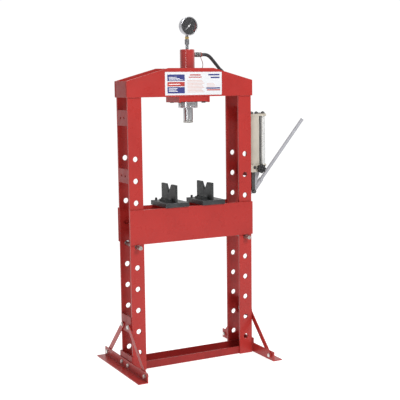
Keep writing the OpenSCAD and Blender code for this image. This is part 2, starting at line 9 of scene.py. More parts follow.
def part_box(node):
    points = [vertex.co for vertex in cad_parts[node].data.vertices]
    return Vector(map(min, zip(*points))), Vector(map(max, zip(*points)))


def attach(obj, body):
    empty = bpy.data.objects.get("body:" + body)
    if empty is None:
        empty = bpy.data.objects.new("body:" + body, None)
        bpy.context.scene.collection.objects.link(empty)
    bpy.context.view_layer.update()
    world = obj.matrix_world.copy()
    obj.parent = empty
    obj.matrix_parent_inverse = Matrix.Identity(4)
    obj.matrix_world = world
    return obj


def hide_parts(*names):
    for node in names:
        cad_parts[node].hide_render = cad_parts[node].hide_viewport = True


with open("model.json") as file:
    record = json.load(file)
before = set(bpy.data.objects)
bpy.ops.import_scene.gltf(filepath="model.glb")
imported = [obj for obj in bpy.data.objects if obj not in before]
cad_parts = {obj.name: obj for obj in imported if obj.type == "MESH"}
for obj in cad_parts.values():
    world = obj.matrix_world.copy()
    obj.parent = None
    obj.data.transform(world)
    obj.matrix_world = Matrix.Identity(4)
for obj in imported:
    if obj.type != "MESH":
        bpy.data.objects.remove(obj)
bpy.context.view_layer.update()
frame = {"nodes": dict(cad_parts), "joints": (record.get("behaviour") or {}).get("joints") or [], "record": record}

record = frame["record"]
body_of_node = {}
for body_name, node_names in record["behaviour"]["bodies"].items():
    for node_name in node_names:
        body_of_node[node_name] = body_name
MM = 0.001
Z_AXIS = Vector((0, 0, 1))
CAD_MERGE = 0.00002          # CAD mesh points closer than this, in metres, are one point
FLAT_ANGLE = math.radians(0.6)    # CAD faces that meet at less than this are one face
SIGHT_LINE = (0.46, 0.888, 0.0)   # level direction in which the camera looks

BRACE_BOLT_Z = 0.205         # heights of the bolts, in metres
FOOT_BOLT_Z = 0.024
PUMP_BOLT_Z = 1.172
BLOCK_BOLT_Z = 0.908


def show(thing):
    bpy.context.scene.collection.objects.link(thing)


# ---------------------------------------------------------------- camera

def place_camera():
    """Three-quarter view from the front left, a little above the bed."""
    turn, tilt, roll = math.radians(27.4), math.radians(-7.2), math.radians(-0.7)
    ahead = Vector((math.sin(turn) * math.cos(tilt), math.cos(turn) * math.cos(tilt),
                    math.sin(tilt)))
    right = Vector((math.cos(turn), -math.sin(turn), 0.0))
    up = right.cross(ahead)
    side = right * math.cos(roll) + up * math.sin(roll)
    top = up * math.cos(roll) - right * math.sin(roll)
    lens = bpy.data.cameras.new("press_camera")
    lens.sensor_width = 36.0
    lens.lens = 82.16
    lens.clip_end = 60.0
    camera = bpy.data.objects.new("press_camera", lens)
    spot = Vector((-1.92507, -3.85495, 1.31796))
    camera.matrix_world = Matrix((
        (side.x, top.x, -ahead.x, spot.x),
        (side.y, top.y, -ahead.y, spot.y),
        (side.z, top.z, -ahead.z, spot.z),
        (0, 0, 0, 1)))
    show(camera)
    bpy.context.scene.camera = camera


place_camera()

# ---------------------------------------------------------------- finishes

def finish(name, colour, metal=0.0, rough=0.4, rough_spread=0.08, shade=0.12, patch=9.0,
           grain=(700.0, 0.0002, 0.25), stretch=(1, 1, 1), worn=None, coat=0.0, stain=None,
           specular=None):
    """A paint, oxide or metal finish with patches of shade, grain, stains and worn edges.

    grain is (scale, height in metres, strength), worn is (colour, amount) and stain is
    (colour, scale, amount)."""
    grain_scale, grain_height, grain_strength = grain
    made = bpy.data.materials.new(name)
    made.use_nodes = True
    made.diffuse_color = (*colour, 1)
    tree = made.node_tree
    nodes, links = tree.nodes, tree.links
    shader = nodes["Principled BSDF"]
    shader.inputs["Metallic"].default_value = metal
    shader.inputs["Coat Weight"].default_value = coat
    shader.inputs["Coat Roughness"].default_value = 0.12
    if specular is not None:
        shader.inputs["Specular IOR Level"].default_value = specular
    place = nodes.new("ShaderNodeTexCoord")
    turn = nodes.new("ShaderNodeMapping")
    turn.inputs["Scale"].default_value = stretch
    links.new(place.outputs["Object"], turn.inputs["Vector"])

    def cloud(scale, detail=4.0, roughness=0.55, source=None):
        noise = nodes.new("ShaderNodeTexNoise")
        noise.inputs["Scale"].default_value = scale
        noise.inputs["Detail"].default_value = detail
        noise.inputs["Roughness"].default_value = roughness
        links.new((source or place).outputs[0 if source else "Object"], noise.inputs["Vector"])
        return noise.outputs["Fac"]

    def blend(amount, first, second):
        mix = nodes.new("ShaderNodeMix")
        mix.data_type = "RGBA"
        links.new(amount, mix.inputs[0])
        for socket, value in ((mix.inputs[6], first), (mix.inputs[7], second)):
            if isinstance(value, tuple):
                socket.default_value = (*value, 1)
            else:
                links.new(value, socket)
        return mix.outputs[2]

    def ranged(source, low, high, to_low=0.0, to_high=1.0):
        span = nodes.new("ShaderNodeMapRange")
        span.inputs["From Min"].default_value = low
        span.inputs["From Max"].default_value = high
        span.inputs["To Min"].default_value = to_low
        span.inputs["To Max"].default_value = to_high
        links.new(source, span.inputs["Value"])
        return span.outputs["Result"]

    dark = tuple(c * (1 - shade) for c in colour)
    light = tuple(min(1.0, c * (1 + shade)) for c in colour)
    tone = blend(ranged(cloud(patch), 0.35, 0.65), dark, light)
    roughness = ranged(cloud(patch * 4.5), 0.3, 0.7, rough - rough_spread, rough + rough_spread)
    if stain is not None:
        stain_colour, stain_scale, stain_amount = stain
        spots = ranged(cloud(stain_scale, 6.0, 0.7), 0.5, 0.72, 0.0, stain_amount)
        tone = blend(spots, tone, stain_colour)
    if worn is not None:
        worn_colour, worn_amount = worn
        edge = nodes.new("ShaderNodeAttribute")
        edge.attribute_name = "worn"
        chips = ranged(cloud(95.0, 5.0, 0.7), 0.47, 0.60)
        amount = nodes.new("ShaderNodeMath")
        amount.operation = "MULTIPLY"
        links.new(edge.outputs["Fac"], amount.inputs[0])
        links.new(chips, amount.inputs[1])
        part = nodes.new("ShaderNodeMath")
        part.operation = "MULTIPLY"
        part.inputs[1].default_value = worn_amount
        links.new(amount.outputs[0], part.inputs[0])
        tone = blend(part.outputs[0], tone, worn_colour)
    links.new(tone, shader.inputs["Base Color"])
    links.new(roughness, shader.inputs["Roughness"])
    bump = nodes.new("ShaderNodeBump")
    bump.inputs["Strength"].default_value = grain_strength
    bump.inputs["Distance"].default_value = grain_height
    links.new(cloud(grain_scale, 3.0, 0.5, turn), bump.inputs["Height"])
    links.new(bump.outputs["Normal"], shader.inputs["Normal"])
    return made


RED = (0.365, 0.024, 0.020)
red_gloss = finish("red_gloss_paint", RED, rough=0.30, rough_spread=0.06, shade=0.05, patch=5.0,
    grain=(320.0, 0.0003, 0.16), coat=0.06, specular=0.28, worn=((0.47, 0.09, 0.075), 0.75),
    stain=((0.25, 0.013, 0.012), 14.0, 0.22))
red_enamel = finish("red_cylinder_enamel", RED, rough=0.16, rough_spread=0.03, shade=0.05,
    patch=8.0, grain=(320.0, 0.0001, 0.08), coat=1.0, worn=((0.47, 0.09, 0.075), 0.7))
# A darker copy of the red frame paint: painted shade for the end, side and inner plates that sit in shade.
red_painted_shade = finish("red_paint_with_painted_shade", (0.27, 0.017, 0.015), rough=0.38, shade=0.10, patch=7.0,
    grain=(300.0, 0.0003, 0.22), specular=0.25, worn=((0.40, 0.08, 0.07), 0.6),
    stain=((0.14, 0.010, 0.010), 18.0, 0.4))
red_weld = finish("red_painted_weld", (0.30, 0.016, 0.014), rough=0.33, shade=0.12, patch=30.0,
    grain=(500.0, 0.0004, 0.35), specular=0.3)
black_oxide = finish("black_oxide", (0.030, 0.032, 0.034), metal=0.35, rough=0.46,
    rough_spread=0.12, shade=0.30, patch=22.0, grain=(260.0, 0.0006, 0.40),
    worn=((0.20, 0.20, 0.20), 0.8), stain=((0.062, 0.064, 0.066), 45.0, 0.7))
black_forged = finish("black_forged_iron", (0.024, 0.026, 0.027), metal=0.25, rough=0.50,
    rough_spread=0.12, shade=0.35, patch=30.0, grain=(170.0, 0.0010, 0.55),
    worn=((0.17, 0.17, 0.17), 0.8), stain=((0.050, 0.052, 0.054), 60.0, 0.6))
zinc_plate = finish("zinc_plate", (0.62, 0.62, 0.60), metal=0.9, rough=0.32, shade=0.10,
    patch=60.0, grain=(900.0, 0.0001, 0.3), worn=((0.35, 0.34, 0.31), 0.5),
    stain=((0.50, 0.48, 0.40), 80.0, 0.4))
dark_hardware = finish("dark_hardware_steel", (0.095, 0.092, 0.090), metal=0.8, rough=0.42,
    shade=0.25, patch=70.0, grain=(800.0, 0.0002, 0.3), worn=((0.40, 0.39, 0.37), 0.6))
polished_chrome = finish("polished_chrome", (0.62, 0.62, 0.64), metal=1.0, rough=0.10,
    rough_spread=0.04, shade=0.04, patch=25.0, grain=(400.0, 0.00002, 0.04),
    worn=((0.60, 0.60, 0.60), 0.4))
turned_steel = finish("turned_steel", (0.56, 0.55, 0.53), metal=1.0, rough=0.27,
    rough_spread=0.08, shade=0.12, patch=50.0, grain=(500.0, 0.0001, 0.35), stretch=(1, 1, 8),
    worn=((0.72, 0.71, 0.69), 0.5), stain=((0.36, 0.33, 0.29), 70.0, 0.45))
pin_steel = finish("bed_pin_steel", (0.40, 0.37, 0.35), metal=0.9, rough=0.34, rough_spread=0.10,
    shade=0.20, patch=45.0, grain=(420.0, 0.0002, 0.35), stretch=(1, 9, 1),
    worn=((0.60, 0.57, 0.54), 0.6), stain=((0.22, 0.17, 0.14), 60.0, 0.6))
brass_finish = finish("machined_brass", (0.66, 0.48, 0.20), metal=1.0, rough=0.24, shade=0.14,
    patch=80.0, grain=(900.0, 0.0001, 0.3), worn=((0.80, 0.66, 0.38), 0.6),
    stain=((0.36, 0.26, 0.12), 120.0, 0.5))
bronze_finish = finish("cast_bronze", (0.48, 0.31, 0.13), metal=1.0, rough=0.36, shade=0.15,
    patch=60.0)
beige_paint = finish("beige_enamel", (0.43, 0.39, 0.325), rough=0.33, rough_spread=0.07,
    shade=0.06, patch=14.0, grain=(380.0, 0.0003, 0.18), coat=0.2, worn=((0.34, 0.32, 0.28), 0.7),
    stain=((0.38, 0.34, 0.27), 40.0, 0.3))
grey_tube = finish("grey_lilac_enamel", (0.33, 0.33, 0.355), metal=0.05, rough=0.45, shade=0.07,
    patch=18.0, grain=(420.0, 0.0001, 0.12), specular=0.3, worn=((0.66, 0.66, 0.68), 0.6),
    stain=((0.30, 0.29, 0.32), 50.0, 0.35))
black_plastic = finish("black_moulded_plastic", (0.016, 0.016, 0.018), rough=0.38, shade=0.2,
    patch=60.0, grain=(1200.0, 0.0002, 0.4), worn=((0.06, 0.06, 0.06), 0.6))
hose_rubber = finish("hose_rubber", (0.022, 0.022, 0.025), rough=0.36, rough_spread=0.08,
    shade=0.25, patch=60.0, grain=(900.0, 0.0003, 0.45), stain=((0.05, 0.05, 0.05), 90.0, 0.5))
dial_black = finish("dial_black", (0.018, 0.018, 0.020), rough=0.55, shade=0.15, patch=80.0,
    grain=(1500.0, 0.00005, 0.2))
white_print = finish("white_print", (0.86, 0.86, 0.86), rough=0.40, shade=0.02, patch=20.0,
    grain=(900.0, 0.00005, 0.15))
dial_print = finish("dial_mark_print", (0.20, 0.20, 0.205), rough=0.45, shade=0.05, patch=60.0,
    grain=(900.0, 0.00005, 0.15))
label_white = finish("label_white_film", (0.64, 0.65, 0.67), rough=0.30, rough_spread=0.04,
    shade=0.02, patch=8.0, grain=(500.0, 0.00008, 0.2), coat=0.3)
label_blue = finish("label_blue_ink", (0.028, 0.034, 0.17), rough=0.32, shade=0.08, patch=30.0,
    grain=(900.0, 0.00005, 0.15))
label_red = finish("label_red_ink", (0.40, 0.040, 0.032), rough=0.32, shade=0.06, patch=30.0,
    grain=(900.0, 0.00005, 0.15))
label_pale = finish("label_pale_ink", (0.58, 0.36, 0.31), rough=0.36, shade=0.06, patch=30.0,
    grain=(900.0, 0.00005, 0.15))
coupler_steel = finish("coupler_steel", (0.26, 0.255, 0.25), metal=1.0, rough=0.25,
    rough_spread=0.08, shade=0.2, patch=90.0, grain=(600.0, 0.0001, 0.35),
    worn=((0.60, 0.59, 0.57), 0.6))
gauge_chrome = finish("gauge_chrome", (0.42, 0.42, 0.44), metal=1.0, rough=0.18,
    rough_spread=0.05, shade=0.08, patch=40.0, grain=(500.0, 0.00002, 0.05),
    worn=((0.70, 0.70, 0.71), 0.4))
red_plastic = finish("red_brown_plastic", (0.23, 0.035, 0.024), rough=0.40, shade=0.12,
    patch=80.0, grain=(900.0, 0.0001, 0.25))
zinc_bright = finish("bright_zinc_tube", (0.72, 0.72, 0.71), metal=0.55, rough=0.30,
    rough_spread=0.06, shade=0.06, patch=30.0, grain=(420.0, 0.00005, 0.08),
    stain=((0.56, 0.53, 0.50), 60.0, 0.35))


def clear_glass():
    glass = bpy.data.materials.new("gauge_glass")
    glass.use_nodes = True
    shader = glass.node_tree.nodes["Principled BSDF"]
    shader.inputs["Base Color"].default_value = (0.02, 0.02, 0.02, 1)
    shader.inputs["Alpha"].default_value = 0.05
    noise = glass.node_tree.nodes.new("ShaderNodeTexNoise")
    noise.inputs["Scale"].default_value = 60.0
    span = glass.node_tree.nodes.new("ShaderNodeMapRange")
    span.inputs["To Min"].default_value = 0.03
    span.inputs["To Max"].default_value = 0.10
    place = glass.node_tree.nodes.new("ShaderNodeTexCoord")
    glass.node_tree.links.new(place.outputs["Object"], noise.inputs["Vector"])
    glass.node_tree.links.new(noise.outputs["Fac"], span.inputs["Value"])
    glass.node_tree.links.new(span.outputs["Result"], shader.inputs["Roughness"])
    return glass


gauge_glass = clear_glass()

# ---------------------------------------------------------------- shaping helpers

def settle(shape, sharp=38.0):
    """Smooth faces with sharp edges where two faces meet at a clear angle."""
    shape.normal_update()
    limit = math.radians(sharp)
    for face in shape.faces:
        face.smooth = True
    for edge in shape.edges:
        if len(edge.link_faces) == 2:
            edge.smooth = edge.calc_face_angle(0.0) < limit


def stand(name, shape, paint, body, stands_for=(), weighted=True, sharp=38.0):
    """Turns a finished bmesh into a piece that rides on a body."""
    settle(shape, sharp)
    mesh = bpy.data.meshes.new(name)
    shape.to_mesh(mesh)
    shape.free()
    mesh.materials.append(paint)
    piece = bpy.data.objects.new(name, mesh)
    show(piece)
    if weighted:
        even = piece.modifiers.new("even_shading", "WEIGHTED_NORMAL")
        even.keep_sharp = True
    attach(piece, body)
    if stands_for:
        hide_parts(*stands_for)
    return piece


def bevel(shape, edges, width, segments=2):
    """Rounds edges; the width is in metres."""
    return bmesh.ops.bevel(shape, geom=edges, offset=width, offset_type="OFFSET",
                           segments=segments, profile=0.5, affect="EDGES", material=-1,
                           clamp_overlap=True)


def mark_edges(shape, width, segments=2, angle=28.0):
    """Rounds the sharp edges and marks the rounding as the place where paint wears."""
    worn = shape.faces.layers.float.get("worn") or shape.faces.layers.float.new("worn")
    limit = math.radians(angle)
    shape.normal_update()
    sharp = [e for e in shape.edges
             if len(e.link_faces) == 2 and e.calc_face_angle(0.0) > limit]
    for face in bevel(shape, sharp, width, segments)["faces"]:
        face[worn] = 1.0


def merged_copy(node):
    """A CAD node's mesh with its points merged and its flat faces joined."""
    shape = bmesh.new()
    shape.from_mesh(frame["nodes"][node].data)
    bmesh.ops.remove_doubles(shape, verts=shape.verts, dist=CAD_MERGE)
    bmesh.ops.dissolve_limit(shape, angle_limit=FLAT_ANGLE, verts=shape.verts,
                             edges=shape.edges)
    return shape


def dress(node, paint, width=0.7, segments=2, angle=28.0):
    """A merged copy of a CAD solid with rounded, worn edges."""
    shape = merged_copy(node)
    mark_edges(shape, width * MM, segments, angle)
    return stand(node + "_finished", shape, paint, body_of_node[node], (node,))


def toward(axis):
    """Turns a shape built along Z so that it points along an axis."""
    return Z_AXIS.rotation_difference(Vector(axis)).to_matrix().to_4x4()


def turned(shape, outline, steps=64, axis=(0, 0, 1), at=(0, 0, 0)):
    """Turns an outline of (radius, height) points in millimetres round its axis."""
    verts = [shape.verts.new((max(r, 0.0) * MM, 0.0, h * MM)) for r, h in outline]
    edges = [shape.edges.new((a, b)) for a, b in zip(verts, verts[1:])]
    bmesh.ops.spin(shape, geom=verts + edges, cent=(0, 0, 0), axis=(0, 0, 1), dvec=(0, 0, 0),
                   angle=2 * math.pi, steps=steps, use_merge=True, use_duplicate=False)
    part = linked(verts)
    bmesh.ops.remove_doubles(shape, verts=list(part), dist=0.000005)
    part = linked([v for v in part if v.is_valid])
    bmesh.ops.transform(shape, matrix=Matrix.Translation(Vector(at)) @ toward(axis),
                        verts=list(part))
    faces = list({f for v in part for f in v.link_faces})
    bmesh.ops.recalc_face_normals(shape, faces=faces)
    return faces


def linked(seeds):
    """Every vertex joined to the seeds by edges."""
    found, waiting = set(seeds), list(seeds)
    while waiting:
        vert = waiting.pop()
        for edge in vert.link_edges:
            other = edge.other_vert(vert)
            if other not in found:
                found.add(other)
                waiting.append(other)
    return found


def prism(shape, sides, across, low, high, axis=(0, 0, 1), at=(0, 0, 0), chamfer=0.8,
          turn=0.0):
    """A nut, head or bar with flats; across is measured over the flats, in millimetres."""
    radius = across / 2 / math.cos(math.pi / sides) * MM
    made = bmesh.ops.create_cone(shape, cap_ends=True, segments=sides, radius1=radius,
                                 radius2=radius, depth=(high - low) * MM)
    verts = made["verts"]
    place = (Matrix.Translation(Vector(at)) @ toward(axis) @
             Matrix.Translation((0, 0, (low + high) / 2 * MM)) @
             Matrix.Rotation(math.radians(turn), 4, "Z"))
    bmesh.ops.transform(shape, matrix=place, verts=verts)
    edges = list({e for v in verts for e in v.link_edges})
    bevel(shape, edges, chamfer * MM)


def shank(shape, at, axis, low, high, radius=4.9, steps=20):
    """The plain round length of a bolt."""
    turned(shape, [(0, low), (radius, low), (radius, high), (0, high)], steps, axis, at)


def hex_head(shape, at, axis, across=17.0, height=6.5, collar=True):
    """Hexagon head or nut with a washer face, seated on a plain washer."""
    prism(shape, 6, across, 1.6, height, axis, at, 0.7, 12.0)
    turned(shape, [(0, height - 0.3), (across * 0.42, height - 0.3), (across * 0.40, height + 0.3),
                   (0, height + 0.3)], 24, axis, at)
    if collar:
        turned(shape, [(5.2, 0.0), (across * 0.62, 0.0), (across * 0.62, 1.4),
                       (across * 0.60, 1.7), (5.2, 1.7)], 32, axis, at)


def thread(shape, at, axis, radius, low, high, pitch=1.5):
    """A threaded end drawn as close rings, with a chamfered tip."""
    outline, level = [(0, low)], low
    while level + pitch < high - 0.8:
        outline += [(radius - 0.75, level), (radius, level + pitch * 0.45),
                    (radius, level + pitch * 0.6)]
        level += pitch
    outline += [(radius - 0.75, level), (radius - 0.2, high - 0.9), (radius - 1.2, high),
                (0, high)]
    turned(shape, outline, 20, axis, at)


def new_verts(grown):
    return [g for g in grown["geom"] if isinstance(g, bmesh.types.BMVert)]


def disc(shape, segments, radius, at, heading):
    """The round face from which a bar or bead is drawn out."""
    verts = bmesh.ops.create_circle(shape, cap_ends=True, segments=segments,
                                    radius=radius)["verts"]
    bmesh.ops.transform(shape, matrix=Matrix.Translation(at) @ toward(heading), verts=verts)
    return list({f for v in verts for f in v.link_faces})


def draw_out(shape, face):
    """Extrudes an end face: gives the new points and the new end face."""
    grown = bmesh.ops.extrude_face_region(shape, geom=face)
    bmesh.ops.delete(shape, geom=[f for f in face if f.is_valid], context="FACES_ONLY")
    return new_verts(grown), [g for g in grown["geom"] if isinstance(g, bmesh.types.BMFace)]


def bead(shape, start, end, size=2.6):
    """A weld bead with ripples from start to end, in metres, size in millimetres."""
    start, end = Vector(start), Vector(end)
    along = end - start
    steps = max(6, int(along.length / (2.2 * MM)))
    face = disc(shape, 8, size * 0.55 * MM, start, along.normalized())
    before = 0.55
    for step in range(1, steps + 1):
        verts, face = draw_out(shape, face)
        bmesh.ops.translate(shape, verts=verts, vec=along / steps)
        wave = 1.0 + 0.13 * math.sin(step * 2.1) + 0.05 * math.sin(step * 0.37)
        if step == steps:
            wave = 0.5
        centre = start + along * (step / steps)
        factor = wave / before
        bmesh.ops.scale(shape, verts=verts, vec=(factor,) * 3,
                        space=Matrix.Translation(-centre))
        before = wave


def ring_bead(shape, centre, radius, size=2.6, axis=(0, 0, 1)):
    """A weld bead round a tube, with ripples."""
    circle = [(radius + size * math.cos(a), size * math.sin(a))
              for a in [math.pi * 2 * k / 8 for k in range(9)]]
    faces = turned(shape, circle, 96, axis, centre)
    for vert in {v for f in faces for v in f.verts}:
        offset = vert.co - Vector(centre)
        angle = math.atan2(offset.y, offset.x)
        if abs(Vector(axis).z) > 0.5:
            vert.co.z += 0.25 * MM * math.sin(angle * 46)


def box_of(node):
    """Lowest corner, highest corner and centre of a CAD node's box, in metres."""
    low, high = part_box(node)
    return low, high, (low + high) / 2


def round_of(node):
    """Centre in metres, and radius, bottom and top in millimetres, of an upright round."""
    low, high, centre = box_of(node)
    return centre, (high.x - low.x) / 2 / MM, low.z / MM, high.z / MM


# ---------------------------------------------------------------- hose

hose_line = [(92, 0, 1458), (110, 0, 1458), (126, 2, 1454), (141, 6, 1445), (156, 12, 1433),
             (172, 19, 1420), (189, 27, 1406), (206, 38, 1394), (224, 50, 1385), (241, 64, 1376),
             (257, 77, 1364), (269, 87, 1344), (278, 92, 1319), (284, 93, 1293), (287, 92, 1267),
             (289, 90, 1241), (290, 88, 1215), (292, 88, 1189), (295, 90, 1163), (300, 94, 1138),
             (307, 100, 1113), (315, 108, 1088), (324, 117, 1064), (333, 126, 1041),
             (343, 133, 1018), (352, 137, 994), (359, 134, 969), (363, 124, 946),
             (365, 107, 927), (366, 86, 914), (365, 66, 908), (365, 50, 908)]


def lay_hose():
    """The pressure hose from the cylinder's coupler to the back of the pump."""
    line = bpy.data.curves.new("pressure_hose", "CURVE")
    line.dimensions = "3D"
    line.bevel_depth = 8.0 * MM
    line.bevel_resolution = 6
    line.resolution_u = 6
    line.use_fill_caps = True
    run = line.splines.new("BEZIER")
    run.bezier_points.add(len(hose_line) - 1)
    for knot, (x, y, z) in zip(run.bezier_points, hose_line):
        knot.co = (x * MM, y * MM, z * MM)
        knot.handle_left_type = knot.handle_right_type = "AUTO"
    line.materials.append(hose_rubber)
    hose = bpy.data.objects.new("pressure_hose", line)
    show(hose)
    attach(hose, body_of_node["hose"])
    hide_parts("hose")


lay_hose()

# ---------------------------------------------------------------- plates and bars

for side in ("lf", "lb", "rf", "rb"):
    dress("upright_" + side, red_gloss, 1.2)
    dress("brace_" + side, red_gloss, 0.9)
for side in ("l", "r"):
    # Pump plates, brace plates and base brackets take the darker red, which is painted shade.
    dress("pump_plates_" + side, red_painted_shade, 0.9)
    dress("brace_plate_" + side, red_painted_shade, 0.9)
    dress("base_bracket_" + side, red_painted_shade, 1.0)
    dress("foot_" + side + "_angle", red_gloss, 0.9)
    dress("arbor_plate_" + side, black_oxide, 1.4, 3)
    dress("vee_block_" + side, black_forged, 1.5, 3)
for node in ("crown_front", "crown_back", "cyl_bracket"):
    dress(node, red_gloss, 1.0)
# Crown ends, crown seats, bed ties and base channel take the darker red, which is painted shade.
for node in ("crown_ends", "crown_seats", "bed_ties", "base_channel"):
    dress(node, red_painted_shade, 1.0)
for node in ("bed_front", "bed_back"):
    dress(node, red_gloss, 1.1)


def weld_frame():
    """Weld beads where the frame's plates meet its bars."""
    shape = bmesh.new()
    low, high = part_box("upright_rf")
    inner, outer = low.x, high.x
    face, back = -low.y, -high.y
    crown_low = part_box("crown_front")[0].z
    base_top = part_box("base_channel")[1].z
    for side in (-1, 1):
        for depth in (-1, 1):
            bead(shape, (side * (inner + 0.004), depth * (face + 0.001), crown_low - 0.0006),
                 (side * (outer - 0.004), depth * (face + 0.001), crown_low - 0.0006), 3.0)
            bead(shape, (side * (inner + 0.003), depth * (back - 0.0008), base_top - 0.0008),
                 (side * (outer - 0.003), depth * (back - 0.0008), base_top - 0.0008), 2.8)
            bead(shape, (side * inner, depth * (back - 0.0006), 0.004),
                 (side * inner, depth * (back - 0.0006), base_top - 0.003), 2.4)
            bead(shape, (side * (outer + 0.0008), depth * (face - 0.0004), 0.008),
                 (side * (outer + 0.0008), depth * (face - 0.0004), 0.070), 2.6)
            x, y = side * (outer - 0.0085), depth * (back - 0.0008)
            for bottom, top in ((1.1390, 1.2050), (0.8780, 0.9380), (0.1800, 0.2520)):
                bead(shape, (x, y, bottom), (x, y, top), 2.6)
    low, high, _ = box_of("crown_ends")
    for x in (low.x, high.x):
        for depth in (-1, 1):
            bead(shape, (x * 0.9985, depth * (face - 0.0002), crown_low + 0.004),
                 (x * 0.9985, depth * (face - 0.0002), high.z - 0.004), 2.4)
    low, high, _ = box_of("cyl_bracket")
    barrel, radius, _, _ = round_of("cyl_barrel")
    ring_bead(shape, (barrel.x, barrel.y, low.z + 0.0145), radius, 2.8)
    for x in (low.x + 0.0086, high.x - 0.0086):
        bead(shape, (x, low.y + 0.014, low.z + 0.0032), (x, high.y - 0.014, low.z + 0.0032), 2.4)
    stand("frame_weld_beads", shape, red_weld, "frame")

    shape = bmesh.new()
    low, high, _ = box_of("bed_ties")
    for x in (low.x, low.x + 0.008, high.x - 0.008, high.x):
        for y in (low.y + 0.0006, high.y - 0.0006):
            bead(shape, (x, y, low.z + 0.006), (x, y, high.z - 0.006), 2.8)
    stand("bed_weld_beads", shape, red_weld, "bed")


weld_frame()

# ---------------------------------------------------------------- bolts

def bolt_frame():
    """Bolts of the feet, braces, bracket and pump."""
    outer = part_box("upright_rf")[1].x
    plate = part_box("brace_plate_r")[1].x
    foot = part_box("foot_r_angle")
    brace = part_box("brace_rf")[1].x
    low_y, up_y = 0.2225, 0.036
    shape = bmesh.new()
    for side in (-1, 1):
        inward, leg = (-side, 0, 0), side * (foot[0].x + 0.005)
        for y in (-up_y, up_y):
            bar = side * (outer - 0.008)
            hex_head(shape, (side * brace, y, BRACE_BOLT_Z), (side, 0, 0))
            hex_head(shape, (bar, y, BRACE_BOLT_Z), inward, collar=False)
            thread(shape, (bar, y, BRACE_BOLT_Z), inward, 4.9, 0, 7.0)
            hex_head(shape, (leg, y, FOOT_BOLT_Z), (side, 0, 0))
            hex_head(shape, (side * outer, y, FOOT_BOLT_Z), inward, collar=False)
        for y in (-low_y, low_y):
            hex_head(shape, (leg, y, FOOT_BOLT_Z), (side, 0, 0))
            hex_head(shape, (side * plate, y, FOOT_BOLT_Z), inward, collar=False)
            thread(shape, (side * plate, y, FOOT_BOLT_Z), inward, 4.9, 0, 7.0)
        for y in (-up_y, up_y):
            shank(shape, (side * brace, y, BRACE_BOLT_Z), (side, 0, 0), -16, 1)
            shank(shape, (leg, y, FOOT_BOLT_Z), (side, 0, 0), -13, 1)
        for y in (-low_y, low_y):
            shank(shape, (leg, y, FOOT_BOLT_Z), (side, 0, 0), -10, 1)
    stand("foot_bolts_finished", shape, zinc_plate, "frame", ("foot_bolts",))

    low, high, centre = box_of("bracket_bolts")
    reach_x, reach_y = (high.x - low.x) / 2 - 0.0104, 0.045
    seat = low.z + 0.007
    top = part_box("crown_seats")[1].z
    shape = bmesh.new()
    for sx in (-1, 1):
        for sy in (-1, 1):
            at = Vector((centre.x + sx * reach_x, sy * reach_y, 0))
            hex_head(shape, at + Vector((0, 0, seat)), (0, 0, -1), 18.0, 6.7)
            hex_head(shape, at + Vector((0, 0, top)), (0, 0, 1), 18.0, 8.7)
            shank(shape, at + Vector((0, 0, seat)), (0, 0, 1), 0, 35, 5.9, 24)
            thread(shape, at + Vector((0, 0, top)), (0, 0, 1), 5.9, 7.0, 10.5, 1.2)
    stand("bracket_bolts_finished", shape, dark_hardware, "frame", ("bracket_bolts",))

    shape = bmesh.new()
    for y in (-0.020, 0.020):
        pad, bar = (outer + 0.007, y, PUMP_BOLT_Z), (outer - 0.008, y, PUMP_BOLT_Z)
        hex_head(shape, pad, (1, 0, 0), height=6.2)
        hex_head(shape, bar, (-1, 0, 0), height=6.2)
        thread(shape, bar, (-1, 0, 0), 4.9, 0, 7.0)
        shank(shape, pad, (1, 0, 0), -15, 1)
        bar = (outer - 0.008, y, BLOCK_BOLT_Z)
        hex_head(shape, bar, (-1, 0, 0), height=6.2)
        thread(shape, bar, (-1, 0, 0), 4.9, 0, 7.0)
        shank(shape, (outer, y, BLOCK_BOLT_Z), (1, 0, 0), -8, 14)
    stand("pump_bolts_finished", shape, dark_hardware, "frame", ("pump_bolts",))


bolt_frame()

# ---------------------------------------------------------------- label

